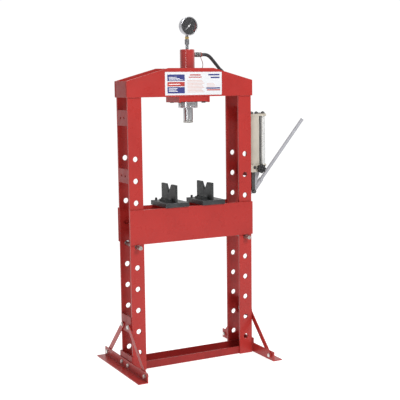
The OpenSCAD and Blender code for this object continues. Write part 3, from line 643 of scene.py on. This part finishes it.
def add_data_plate():
    """A plain data plate: white film, ink blocks and rules, no words."""
    low, high, _ = box_of("label_plate")
    front = low.y
    width, height = high.x - low.x, high.z - low.z
    shape = merged_copy("label_plate")
    corners = [e for e in shape.edges
               if abs(e.verts[0].co.y - e.verts[1].co.y) > 0.0005 * 0.9]
    bevel(shape, corners, 3.0 * MM, 5)
    stand("data_plate", shape, label_white, "frame", ("label_plate",), weighted=False)

    def patch(shape, left, bottom, wide, tall, lift=0.05):
        made = bmesh.ops.create_cube(shape, size=1.0)
        middle = Vector((low.x + (left + wide / 2) * width, front - lift * MM * 0.5,
                         low.z + (bottom + tall / 2) * height))
        bmesh.ops.scale(shape, verts=made["verts"],
                        vec=(wide * width, lift * MM, tall * height))
        bmesh.ops.translate(shape, verts=made["verts"], vec=middle)

    shape = bmesh.new()
    patch(shape, 0.04, 0.61, 0.30, 0.28)
    patch(shape, 0.04, 0.08, 0.30, 0.27)
    patch(shape, 0.76, 0.84, 0.20, 0.065)
    patch(shape, 0.80, 0.72, 0.16, 0.065)
    patch(shape, 0.72, 0.26, 0.25, 0.060)
    stand("data_plate_blue_ink", shape, label_blue, "frame", weighted=False)
    shape = bmesh.new()
    patch(shape, 0.04, 0.38, 0.30, 0.19)
    patch(shape, 0.43, 0.84, 0.19, 0.050)
    patch(shape, 0.41, 0.75, 0.23, 0.040)
    patch(shape, 0.73, 0.185, 0.24, 0.050)
    stand("data_plate_red_ink", shape, label_red, "frame", weighted=False)
    shape = bmesh.new()
    for row in range(9):
        patch(shape, 0.385, 0.12 + row * 0.062, 0.30 - 0.02 * (row % 3), 0.024)
    for row in range(3):
        patch(shape, 0.73, 0.36 + row * 0.06, 0.17 - 0.02 * row, 0.018)
    stand("data_plate_fine_rules", shape, label_pale, "frame", weighted=False)
    shape = bmesh.new()
    for row in range(3):
        patch(shape, 0.065, 0.16 + row * 0.055, 0.15 - 0.03 * (row % 2), 0.022, 0.10)
        patch(shape, 0.065, 0.65 + row * 0.055, 0.24 - 0.05 * row, 0.020, 0.10)
    patch(shape, 0.065, 0.455, 0.20, 0.030, 0.10)
    stand("data_plate_light_rules", shape, white_print, "frame",
          weighted=False)


add_data_plate()

# ---------------------------------------------------------------- cylinder, ring nut, ram

def build_cylinder():
    centre, radius, bottom, top = round_of("cyl_barrel")
    shape = bmesh.new()
    turned(shape, [(26.9, bottom), (radius, bottom), (radius, top - 13.4),
                   (radius - 0.5, top - 13.0), (radius - 0.5, top - 12.0),
                   (radius, top - 11.6), (radius, top - 3.2),
                   (radius - 0.8, top - 1.2), (radius - 3.0, top), (9.5, top), (9.0, top - 0.6),
                   (6.05, top - 0.6), (6.05, top - 14.0), (26.9, top - 14.0), (26.9, bottom)], 96,
           at=(centre.x, centre.y, 0))
    mark_edges(shape, 0.00025, 1, 60.0)
    stand("cylinder_barrel", shape, red_enamel, "frame", ("cyl_barrel",))

    centre, radius, bottom, top = round_of("ring_nut")
    bore = round_of("ram_rod")[1] + 0.1
    shape = bmesh.new()
    wall = turned(shape, [(bore, bottom + 2.2), (bore + 1.8, bottom), (bore + 4.5, bottom),
                          (bore + 5.0, bottom + 1.0), (bore + 8.0, bottom + 1.0),
                          (bore + 8.5, bottom), (radius - 2.4, bottom), (radius, bottom + 2.4),
                          (radius, bottom + 8.0), (radius - 0.5, bottom + 8.5),
                          (radius - 0.5, bottom + 9.5), (radius, bottom + 10.0),
                          (radius, top - 5.5), (radius - 0.5, top - 5.0), (radius, top - 4.5),
                          (radius, top - 2.4), (radius - 2.4, top), (bore + 11.0, top),
                          (bore + 11.0, top - 25.0), (bore, top - 25.0), (bore, bottom + 2.2)],
                  96, at=(centre.x, centre.y, 0))
    slots = [f for f in wall if f.is_valid and abs(f.normal.z) < 0.2
             and (f.calc_center_median().xy - centre.xy).length > (radius - 0.6) * MM
             and bottom + 10.0 < f.calc_center_median().z / MM < top - 6.0]
    picked = []
    for face in slots:
        offset = face.calc_center_median() - centre
        angle = math.degrees(math.atan2(offset.y, offset.x)) % 60.0
        if angle < 11.0:
            picked.append(face)
    bmesh.ops.inset_region(shape, faces=picked, thickness=0.0004, depth=0.0)
    bmesh.ops.inset_region(shape, faces=picked, thickness=0.0003, depth=-0.0022)
    mark_edges(shape, 0.0002, 1, 40.0)
    stand("cylinder_ring_nut", shape, polished_chrome, "frame", ("ring_nut",))

    centre, radius, bottom, top = round_of("ram_rod")
    shape = bmesh.new()
    turned(shape, [(0, bottom), (radius - 0.4, bottom), (radius, bottom + 0.4),
                   (radius, top - 0.5), (radius - 0.5, top), (0, top)], 96,
           at=(centre.x, centre.y, 0))
    stand("ram_finished", shape, polished_chrome, "ram", ("ram_rod",))
    centre, _, foot, _ = round_of("ram_pad")
    shape = bmesh.new()
    turned(shape, [(0, foot + 0.4), (7.0, foot + 0.4), (7.6, foot), (radius - 2.2, foot),
                   (radius, foot + 2.2), (radius, foot + 10.6), (radius - 0.5, foot + 11.2),
                   (radius - 1.9, foot + 12.0), (radius - 2.1, foot + 12.4),
                   (radius - 2.1, foot + 14.0), (0, foot + 14.0)], 96,
           at=(centre.x, centre.y, 0))
    mark_edges(shape, 0.0002, 1, 40.0)
    stand("ram_nose_pad", shape, turned_steel, "ram", ("ram_pad",))

    for node, paint in (("piston", turned_steel), ("gland_bush", bronze_finish)):
        dress(node, paint, 0.4, 1)


build_cylinder()

# ---------------------------------------------------------------- gauge

def build_gauge():
    low, high, centre = box_of("gauge_bezel")
    radius = (high.x - low.x) / 2 / MM
    face = low.y
    hub = Vector((centre.x, face, centre.z))
    back = (0, 1, 0)
    case_low, case_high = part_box("gauge_case")
    deep = (case_high.y - face) / MM
    shape = bmesh.new()
    turned(shape, [(radius - 5.2, 2.4), (radius - 4.6, 0.5), (radius - 3.4, 0.0),
                   (radius - 1.8, 0.2), (radius - 0.5, 1.0), (radius, 2.6), (radius, 8.0),
                   (radius - 0.7, 8.8), (radius - 2.5, 8.8), (radius - 2.5, 6.2),
                   (radius - 5.2, 6.2), (radius - 5.2, 2.4)], 96, back, hub)
    stand("gauge_bezel_ring", shape, gauge_chrome, "frame", ("gauge_bezel",), sharp=60.0)
    shape = bmesh.new()
    turned(shape, [(0, deep - 1.6), (6.0, deep - 1.6), (6.4, deep - 0.2), (9.0, deep),
                   (radius - 8.5, deep), (radius - 5.0, deep - 1.0), (radius - 3.0, deep - 3.4),
                   (radius - 2.6, deep - 5.0), (radius - 2.6, 8.4), (radius - 5.0, 8.4),
                   (radius - 5.0, deep - 3.4), (0, deep - 3.4)], 96, back, hub)
    stem = case_low.z / MM
    turned(shape, [(0, stem), (6.6, stem), (7.0, stem + 0.5), (7.0, stem + 9.0), (0, stem + 9.0)],
           32, at=(centre.x, 0, 0))
    stand("gauge_case_shell", shape, gauge_chrome, "frame", ("gauge_case",))

    depth = (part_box("gauge_dial")[0].y - face) / MM
    shape = bmesh.new()
    turned(shape, [(1.6, depth), (radius - 8.2, depth), (radius - 6.4, depth - 0.9),
                   (radius - 5.05, depth - 0.9), (radius - 5.05, depth + 1.2),
                   (3.4, depth + 1.2), (3.4, depth + 22.0), (1.6, depth + 22.0),
                   (1.6, depth)], 96, back, hub)
    stand("gauge_dial_plate", shape, dial_black, "frame", ("gauge_dial",))

    def spot(reach, degrees, lift):
        angle = math.radians(degrees)
        return Vector((centre.x + reach * MM * math.cos(angle), face + (depth - lift) * MM,
                       centre.z + reach * MM * math.sin(angle)))

    def tick(shape, degrees, inner, outer, wide):
        made = bmesh.ops.create_cube(shape, size=1.0)
        bmesh.ops.scale(shape, verts=made["verts"],
                        vec=((outer - inner) * MM, 0.1 * MM, wide * MM))
        turn = Matrix.Rotation(-math.radians(degrees), 4, "Y")
        middle = spot((inner + outer) / 2, degrees, 0.08)
        bmesh.ops.transform(shape, matrix=Matrix.Translation(middle) @ turn,
                            verts=made["verts"])

    rim = radius - 9.4
    shape = bmesh.new()
    for step in range(51):
        degrees = 225.0 - step * 5.4
        if step % 10 == 0:
            tick(shape, degrees, rim - 4.4, rim, 0.9)
        elif step % 5 == 0:
            tick(shape, degrees, rim - 3.2, rim, 0.6)
        else:
            tick(shape, degrees, rim - 1.9, rim, 0.35)
    for step in range(6):
        degrees = 225.0 - step * 54.0
        words = bpy.data.curves.new("dial_number", "FONT")
        words.body = str(step * 5)
        words.size = 5.6 * MM
        words.align_x = "CENTER"
        words.align_y = "CENTER"
        holder = bpy.data.objects.new("dial_number", words)
        show(holder)
        flat = bpy.data.meshes.new_from_object(holder)
        middle = spot(rim - 9.0, degrees, 0.06)
        flat.transform(Matrix.Translation(middle) @ Matrix.Rotation(math.pi / 2, 4, "X"))
        shape.from_mesh(flat)
        bpy.data.objects.remove(holder)
        bpy.data.curves.remove(words)
        bpy.data.meshes.remove(flat)
    stand("gauge_dial_marks", shape, dial_print, "frame", weighted=False)

    shape = bmesh.new()
    ends = [shape.verts.new(spot(rim + reach, 20.0, 0.10)) for reach in (0.2, 1.9)]
    rung = shape.edges.new(ends)
    bmesh.ops.spin(shape, geom=ends + [rung], cent=hub + Vector((0, (depth - 0.1) * MM, 0)),
                   axis=(0, 1, 0), dvec=(0, 0, 0), angle=math.radians(65.0), steps=24,
                   use_merge=False, use_duplicate=False)
    bmesh.ops.recalc_face_normals(shape, faces=shape.faces)
    for f in shape.faces:
        if f.normal.y > 0:
            f.normal_flip()
    stand("gauge_red_band", shape, label_red, "frame", weighted=False)

    shape = bmesh.new()
    turned(shape, [(0, 2.6), (radius - 5.3, 2.6), (radius - 5.3, 3.0), (0, 3.0)], 64, back, hub)
    stand("gauge_glass_disc", shape, gauge_glass, "frame", weighted=False)

    front = (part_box("gauge_needle")[0].y - face) / MM
    shape = bmesh.new()
    reach, tail = radius * 0.64, radius * 0.27
    blade = [(-reach, -0.25), (-reach, 0.25), (-2.0, 0.95), (tail, 1.35), (tail + 0.8, 0.0),
             (tail, -1.35), (-2.0, -0.95)]
    verts = [shape.verts.new((x * MM, 0, z * MM)) for x, z in blade]
    blade_face = shape.faces.new(verts)
    grown = bmesh.ops.extrude_face_region(shape, geom=[blade_face])
    bmesh.ops.translate(shape, verts=new_verts(grown), vec=(0, 0.7 * MM, 0))
    bmesh.ops.recalc_face_normals(shape, faces=shape.faces)
    turn = Matrix.Rotation(math.radians(-45.0), 4, "Y")
    middle = hub + Vector((0, (front + 0.6) * MM, 0))
    bmesh.ops.transform(shape, verts=shape.verts, matrix=Matrix.Translation(middle) @ turn)
    turned(shape, [(0, front), (2.6, front + 0.1), (3.6, front + 0.7), (3.9, front + 1.8),
                   (1.5, front + 1.8), (1.5, front + 14.0), (0, front + 14.0)], 32, back, hub)
    stand("gauge_needle_finished", shape, white_print, "gauge_pointer", ("gauge_needle",))

    centre = box_of("gauge_stem")[2]
    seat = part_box("cyl_barrel")[1].z / MM
    shape = bmesh.new()
    axis_at = (centre.x, centre.y, 0)
    turned(shape, [(0, seat - 10), (5.9, seat - 10), (5.9, seat + 0.2),
                   (8.6, seat + 0.2), (8.6, seat + 1.8), (7.5, seat + 2.2),
                   (7.5, seat + 17.0), (6.9, seat + 17.6), (6.9, seat + 18.6),
                   (7.5, seat + 19.2), (7.5, seat + 22.4), (0, seat + 22.4)],
           48, at=axis_at)
    prism(shape, 6, 21.0, seat + 22.0, seat + 46.0, at=axis_at, chamfer=0.9, turn=30.0)
    mark_edges(shape, 0.0001, 1, 80.0)
    stand("gauge_adapter", shape, gauge_chrome, "frame", ("gauge_stem",))
    shape = bmesh.new()
    turned(shape, [(0, seat + 45.8), (7.4, seat + 45.8), (8.0, seat + 46.4),
                   (8.0, seat + 49.4), (7.4, seat + 50.0), (0, seat + 50.0)],
           40, at=axis_at)
    prism(shape, 6, 17.0, seat + 49.8, seat + 59.0, at=axis_at, chamfer=0.7)
    stand("gauge_brass_union", shape, brass_finish, "frame", ("gauge_nipple",))


build_gauge()

# ---------------------------------------------------------------- coupler

def build_coupler():
    centre = box_of("coupler")[2]
    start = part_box("cyl_barrel")[1].x / MM
    axis, at = (1, 0, 0), (0, centre.y, centre.z)
    shape = bmesh.new()
    turned(shape, [(0, start - 7), (5.9, start - 7), (5.9, start - 0.4), (9.4, start - 0.4),
                   (9.5, start + 3.6), (8.6, start + 4.2), (0, start + 4.2)], 48, axis, at)
    prism(shape, 6, 20.0, start + 4.0, start + 12.0, axis, at, 0.8, 15.0)
    ferrule = start + 32
    turned(shape, [(0, ferrule - 0.2), (9.0, ferrule - 0.2), (9.5, ferrule + 0.5),
                   (9.5, ferrule + 2.2), (8.7, ferrule + 2.8), (8.7, ferrule + 4.4),
                   (9.5, ferrule + 5.0), (9.5, ferrule + 6.6), (8.7, ferrule + 7.2),
                   (8.7, ferrule + 8.4), (9.5, ferrule + 9.0), (9.3, ferrule + 10.0),
                   (8.0, ferrule + 10.0), (0, ferrule + 10.0)], 48, axis, at)
    stand("coupler_body", shape, coupler_steel, "frame", ("coupler",))
    shape = bmesh.new()
    sleeve = turned(shape, [(8.0, start + 12.0), (10.6, start + 12.0), (11.2, start + 12.8),
                            (11.2, start + 15.0), (11.2, start + 17.2), (11.2, start + 19.4),
                            (11.2, start + 21.6), (11.2, start + 23.8), (11.2, start + 26.0),
                            (11.4, start + 27.0), (11.4, start + 31.0), (10.6, start + 32.0),
                            (8.0, start + 32.0), (8.0, start + 12.0)], 48, axis, at)
    pads = [f for f in sleeve if start + 12.9 < f.calc_center_median().x / MM < start + 25.9
            and (f.calc_center_median() - Vector((f.calc_center_median().x, at[1], at[2]))).length
            > 10.9 * MM]
    bmesh.ops.inset_individual(shape, faces=pads, thickness=0.00035, depth=0.0003)
    stand("coupler_knurled_sleeve", shape, coupler_steel, "frame")

    shape = bmesh.new()
    band = start + 33.0
    turned(shape, [(9.6, band), (10.8, band), (11.2, band + 0.5), (11.2, band + 4.5),
                   (10.8, band + 5.0), (9.6, band + 5.0), (9.6, band)], 48, axis, at)
    strap = [(band + 2.5, 0, -10.6), (band + 4.0, -1.0, -17.0), (band + 8.0, -2.0, -27.0),
             (band + 11.5, -2.5, -38.0), (band + 12.5, -2.5, -50.0), (band + 10.0, -2.0, -61.0),
             (band + 6.0, -1.0, -70.0)]
    knots = [Vector((x * MM, y * MM, centre.z + z * MM)) for x, y, z in strap]
    smooth = []
    for i in range(len(knots) - 1):
        a, b = knots[max(i - 1, 0)], knots[i]
        c, d = knots[i + 1], knots[min(i + 2, len(knots) - 1)]
        for k in range(5):
            t = k / 5.0
            smooth.append(0.5 * ((2 * b) + (c - a) * t + (2 * a - 5 * b + 4 * c - d) * t * t
                                 + (3 * b - a - 3 * c + d) * t ** 3))
    smooth.append(knots[-1])
    heading = (smooth[1] - smooth[0]).normalized()
    face = disc(shape, 10, 1.5 * MM, smooth[0], heading)
    for here, there in zip(smooth, smooth[1:]):
        ahead = (there - here).normalized()
        swing = heading.rotation_difference(ahead).to_matrix()
        verts, face = draw_out(shape, face)
        bmesh.ops.rotate(shape, verts=verts, cent=here, matrix=swing)
        bmesh.ops.translate(shape, verts=verts, vec=there - here)
        heading = ahead
    tip = knots[-1]
    turned(shape, [(0, -16), (8.2, -16), (9.6, -14.8), (9.8, -2.0), (9.0, -0.6), (5.0, 0.2),
                   (2.0, 1.6), (0, 1.8)], 32, (0.15, -0.1, 1.0), tip)
    stand("dust_cap_and_strap", shape, red_plastic, "frame")

    last, before = Vector(hose_line[-1]) * MM, Vector(hose_line[-2]) * MM
    shape = bmesh.new()
    heading = before - last
    prism(shape, 6, 19.0, 0.0, 7.0, heading, last, 0.7, 10.0)
    turned(shape, [(7.6, 6.8), (9.4, 6.8), (9.8, 7.6), (9.8, 9.4), (9.1, 10.0), (9.1, 11.2),
                   (9.8, 11.8), (9.8, 13.6), (9.3, 14.4), (8.0, 14.4), (7.6, 6.8)],
           40, heading, last)
    stand("hose_end_fitting", shape, turned_steel, "frame")


build_coupler()

# ---------------------------------------------------------------- pump

def build_pump():
    centre, radius, bottom, top = round_of("pump_tank")
    at = (centre.x, centre.y, 0)
    shape = bmesh.new()
    turned(shape, [(radius - 4, bottom), (radius, bottom), (radius, bottom + 2.0),
                   (radius - 0.7, bottom + 3.0), (radius - 0.7, bottom + 5.0),
                   (radius, bottom + 6.0), (radius, top - 6.0), (radius - 0.7, top - 5.0),
                   (radius - 0.7, top - 3.0), (radius, top - 2.0), (radius, top),
                   (radius - 4, top), (radius - 4, bottom)], 96, at=at)
    bead(shape, (centre.x, centre.y + (radius + 0.1) * MM, (bottom + 8) * MM),
         (centre.x, centre.y + (radius + 0.1) * MM, (top - 8) * MM), 1.6)
    stand("oil_tank", shape, beige_paint, "frame", ("pump_tank",))
    dress("pump_cap", beige_paint, 1.2, 3)
    dress("pump_block", beige_paint, 1.4, 3)

    centre, radius, bottom, top = round_of("pump_tube")
    shape = bmesh.new()
    turned(shape, [(0, bottom), (radius, bottom), (radius, bottom + 7.0),
                   (radius - 0.8, bottom + 7.8), (radius - 0.8, bottom + 9.0),
                   (radius, bottom + 9.8), (radius, top - 9.8), (radius - 0.8, top - 9.0),
                   (radius - 0.8, top - 7.8), (radius, top - 7.0), (radius, top), (0, top)],
           64, at=(centre.x, centre.y, 0))
    stand("pump_cylinder_tube", shape, zinc_bright, "frame", ("pump_tube",))

    cap_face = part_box("pump_tube")[1].z + 0.012
    tank_x = box_of("pump_tank")[2].x
    tube_x = centre.x
    rod_x = tube_x - 0.019
    block_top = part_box("pump_tube")[0].z
    shape = bmesh.new()
    shank(shape, (rod_x, 0, block_top), (0, 0, 1), 0, 200, 5.5, 24)
    thread(shape, (rod_x, 0, block_top), (0, 0, 1), 5.5, 200.0,
           (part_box("pump_tube")[1].z - block_top) / MM, 1.5)
    for x in (tank_x - 0.004, tank_x + 0.023, tube_x):
        hex_head(shape, (x, 0, cap_face), (0, 0, 1), 17.0, 7.7)
        thread(shape, (x, 0, cap_face), (0, 0, 1), 4.9, 7.0, 11.0, 1.2)
    prism(shape, 6, 9.4, 0.0, 4.8, (0, 0, 1), (rod_x, 0, cap_face), 0.5)
    plug = Vector((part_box("upright_rf")[1].x + 0.036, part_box("pump_block")[0].y, 0.914))
    turned(shape, [(0, 0), (7.8, 0), (8.0, 0.3), (7.6, 1.5), (0, 1.5)], 32, (0, -1, 0), plug)
    prism(shape, 6, 12.0, 1.4, 6.0, (0, -1, 0), plug, 0.6, 8.0)
    stand("pump_rods_and_nuts", shape, dark_hardware, "frame", ("pump_studs",))

    dress("pump_lug", dark_hardware, 0.7)
    dress("lug_gussets", grey_tube, 0.7)
    dress("pump_plunger", dark_hardware, 0.5)
    dress("handle_socket", grey_tube, 0.6)

    low, _, centre = box_of("release_knob")
    knob = Vector((centre.x, 0, centre.z))
    front = low.y / MM
    shape = bmesh.new()
    made = bmesh.ops.create_circle(shape, cap_ends=True, segments=96, radius=1.0)
    for vert in made["verts"]:
        angle = math.atan2(vert.co.y, vert.co.x)
        reach = (20.6 + 2.3 * math.cos(angle * 8.0)) * MM
        vert.co = Vector((vert.co.x * reach, vert.co.y * reach, 0))
    grown = bmesh.ops.extrude_face_region(shape, geom=shape.faces[:])
    bmesh.ops.translate(shape, verts=new_verts(grown), vec=(0, 0, 16.4 * MM))
    bmesh.ops.recalc_face_normals(shape, faces=shape.faces)
    rims = [e for e in shape.edges if abs(e.verts[0].co.z - e.verts[1].co.z) < 1e-6]
    bevel(shape, rims, 2.2 * MM, 4)
    top = [f for f in shape.faces if f.normal.z > 0.99 and len(f.verts) > 20]
    bmesh.ops.inset_region(shape, faces=top, thickness=4.0 * MM, depth=0.0)
    bmesh.ops.inset_region(shape, faces=top, thickness=0.8 * MM, depth=-1.2 * MM)
    bmesh.ops.transform(shape, verts=shape.verts,
                        matrix=Matrix.Translation(knob + Vector((0, (front + 17.0) * MM, 0)))
                        @ toward((0, -1, 0)))
    stand("release_knob_grip", shape, black_plastic, "release_valve", ("release_knob",))
    shape = bmesh.new()
    turned(shape, [(0, front + 17.0), (8.5, front + 17.0), (8.5, front + 19.0),
                   (6.0, front + 20.0), (6.0, front + 44.0), (0, front + 44.0)], 32,
           (0, 1, 0), knob)
    stand("release_valve_stem", shape, turned_steel, "release_valve")
    shape = bmesh.new()
    turned(shape, [(0, front + 1.0), (3.6, front + 1.0), (4.0, front + 1.4), (4.0, front + 3.0),
                   (0, front + 3.0)], 24, (0, 1, 0), knob)
    stand("release_knob_screw", shape, dark_hardware, "release_valve")


build_pump()


def build_handle():
    """Open steel tube in its socket, with the rolled tip and a lip round the socket's mouth."""
    lever = next(j for j in frame["joints"] if j["name"] == "handle_pump")
    pivot = Vector(lever["pos_m"])
    slope = math.radians(50.0)
    along = Vector((math.cos(slope), 0, math.sin(slope)))
    radius = 8.5
    reach = (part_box("handle_tube")[1].x - pivot.x) / MM - radius * math.sin(slope)
    reach /= math.cos(slope)
    shape = bmesh.new()
    turned(shape, [(0, 32.4), (radius, 32.4), (radius, reach - 1.0), (radius - 0.4, reach - 0.2),
                   (radius - 1.0, reach), (radius - 1.8, reach - 0.3), (radius - 2.0, reach - 1.0),
                   (radius - 2.0, reach - 40.0), (0, reach - 40.0)], 48, along, pivot)
    stand("handle_tube_finished", shape, grey_tube, "pump_handle", ("handle_tube",))
    shape = bmesh.new()
    turned(shape, [(8.6, 74.8), (12.0, 74.8), (11.6, 76.4), (9.6, 77.4), (8.6, 77.4),
                   (8.6, 74.8)], 40, along, pivot)
    stand("handle_socket_lip", shape, grey_tube, "pump_handle")


build_handle()

# ---------------------------------------------------------------- bed pins, plates, vee blocks

def build_pins():
    for side, body in (("l", "bed_pin_left"), ("r", "bed_pin_right")):
        low, high, centre = box_of("bed_pin_" + side)
        radius = (high.x - low.x) / 2 / MM
        front, back = low.y / MM, high.y / MM
        shape = bmesh.new()
        turned(shape, [(0, front + 0.5), (3.0, front + 0.5), (3.4, front), (radius - 2.2, front),
                       (radius, front + 2.4), (radius, front + 15.0),
                       (radius - 0.6, front + 15.6), (radius - 0.6, front + 17.4),
                       (radius, front + 18.0), (radius, back - 9.0), (radius - 0.9, back - 8.4),
                       (radius - 0.9, back - 6.6), (radius, back - 6.0), (radius, back - 2.4),
                       (radius - 2.0, back), (0, back)],
               64, (0, 1, 0), (centre.x, 0, centre.z))
        mark_edges(shape, 0.0002, 1, 40.0)
        stand("bed_pin_" + body.split("_")[-1], shape, pin_steel, body, ("bed_pin_" + side,))


build_pins()


def screw_vee_blocks():
    """Socket screws that hold each vee block's foot."""
    for side, body in (("l", "vee_left"), ("r", "vee_right")):
        low, _, centre = box_of("vee_block_" + side)
        shape = bmesh.new()
        for y in (-0.024, 0.024):
            at = Vector((low.x + 0.008, centre.y + y, low.z + 0.016))
            turned(shape, [(0, -2.2), (3.1, -2.2), (3.1, 0.3), (4.6, 0.5), (5.2, 0.0),
                           (5.6, -0.6), (5.6, -1.2)], 24, at=at)
        stand("vee_block_screws_" + side, shape, dark_hardware, body)


screw_vee_blocks()

# ---------------------------------------------------------------- studio

def lay_floor():
    shape = bmesh.new()
    bmesh.ops.create_grid(shape, x_segments=2, y_segments=2, size=30.0)
    mesh = bpy.data.meshes.new("studio_floor")
    shape.to_mesh(mesh)
    shape.free()
    pale = bpy.data.materials.new("studio_floor_pale")
    pale.use_nodes = True
    shader = pale.node_tree.nodes["Principled BSDF"]
    shader.inputs["Base Color"].default_value = (0.60, 0.60, 0.60, 1)
    shader.inputs["Emission Color"].default_value = (1.0, 1.0, 1.0, 1)
    place = pale.node_tree.nodes.new("ShaderNodeTexCoord")
    split = pale.node_tree.nodes.new("ShaderNodeSeparateXYZ")
    fade = pale.node_tree.nodes.new("ShaderNodeMapRange")
    fade.interpolation_type = "SMOOTHSTEP"
    fade.inputs["From Min"].default_value = -2.6
    fade.inputs["From Max"].default_value = -1.1
    fade.inputs["To Min"].default_value = 0.50
    fade.inputs["To Max"].default_value = 0.74
    pale.node_tree.links.new(place.outputs["Object"], split.inputs[0])
    pale.node_tree.links.new(split.outputs["Y"], fade.inputs["Value"])
    pale.node_tree.links.new(fade.outputs["Result"], shader.inputs["Emission Strength"])
    shader.inputs["Roughness"].default_value = 0.9
    shader.inputs["Specular IOR Level"].default_value = 0.1
    mesh.materials.append(pale)
    floor = bpy.data.objects.new("studio_floor", mesh)
    show(floor)


def soft_light(name, spot, aim, wide, tall, power):
    lamp = bpy.data.lights.new(name, "AREA")
    lamp.shape = "RECTANGLE"
    lamp.size, lamp.size_y = wide, tall
    lamp.energy = power
    holder = bpy.data.objects.new(name, lamp)
    holder.location = spot
    holder.rotation_euler = (Vector(aim) - Vector(spot)).to_track_quat("-Z", "Y").to_euler()
    show(holder)


def light_studio():
    """White surround behind the press, greyer in front of it, with soft boxes round it."""
    world = bpy.data.worlds.new("studio_surround")
    world.use_nodes = True
    bpy.context.scene.world = world
    nodes, links = world.node_tree.nodes, world.node_tree.links
    shell = nodes["Background"]
    place = nodes.new("ShaderNodeTexCoord")
    ahead = nodes.new("ShaderNodeVectorMath")
    ahead.operation = "DOT_PRODUCT"
    ahead.inputs[1].default_value = SIGHT_LINE
    links.new(place.outputs["Generated"], ahead.inputs[0])
    span = nodes.new("ShaderNodeMapRange")
    span.interpolation_type = "SMOOTHSTEP"
    span.inputs["From Min"].default_value = -0.15
    span.inputs["From Max"].default_value = 0.92
    span.inputs["To Min"].default_value = 0.34
    span.inputs["To Max"].default_value = 1.04
    links.new(ahead.outputs["Value"], span.inputs["Value"])
    links.new(span.outputs["Result"], shell.inputs["Strength"])
    shell.inputs["Color"].default_value = (1.0, 1.0, 1.0, 1)
    soft_light("front_right_box", (0.3, -3.7, 3.0), (0.0, 0.0, 1.2), 1.4, 1.4, 124.0)
    soft_light("left_strip", (-3.1, -2.65, 1.9), (0.0, 0.0, 1.1), 0.16, 2.6, 12.0)
    soft_light("overhead_box", (0.3, 0.2, 3.5), (0.0, 0.0, 0.5), 2.0, 1.6, 20.0)
    bpy.context.scene.view_settings.view_transform = "Standard"


lay_floor()
light_studio()
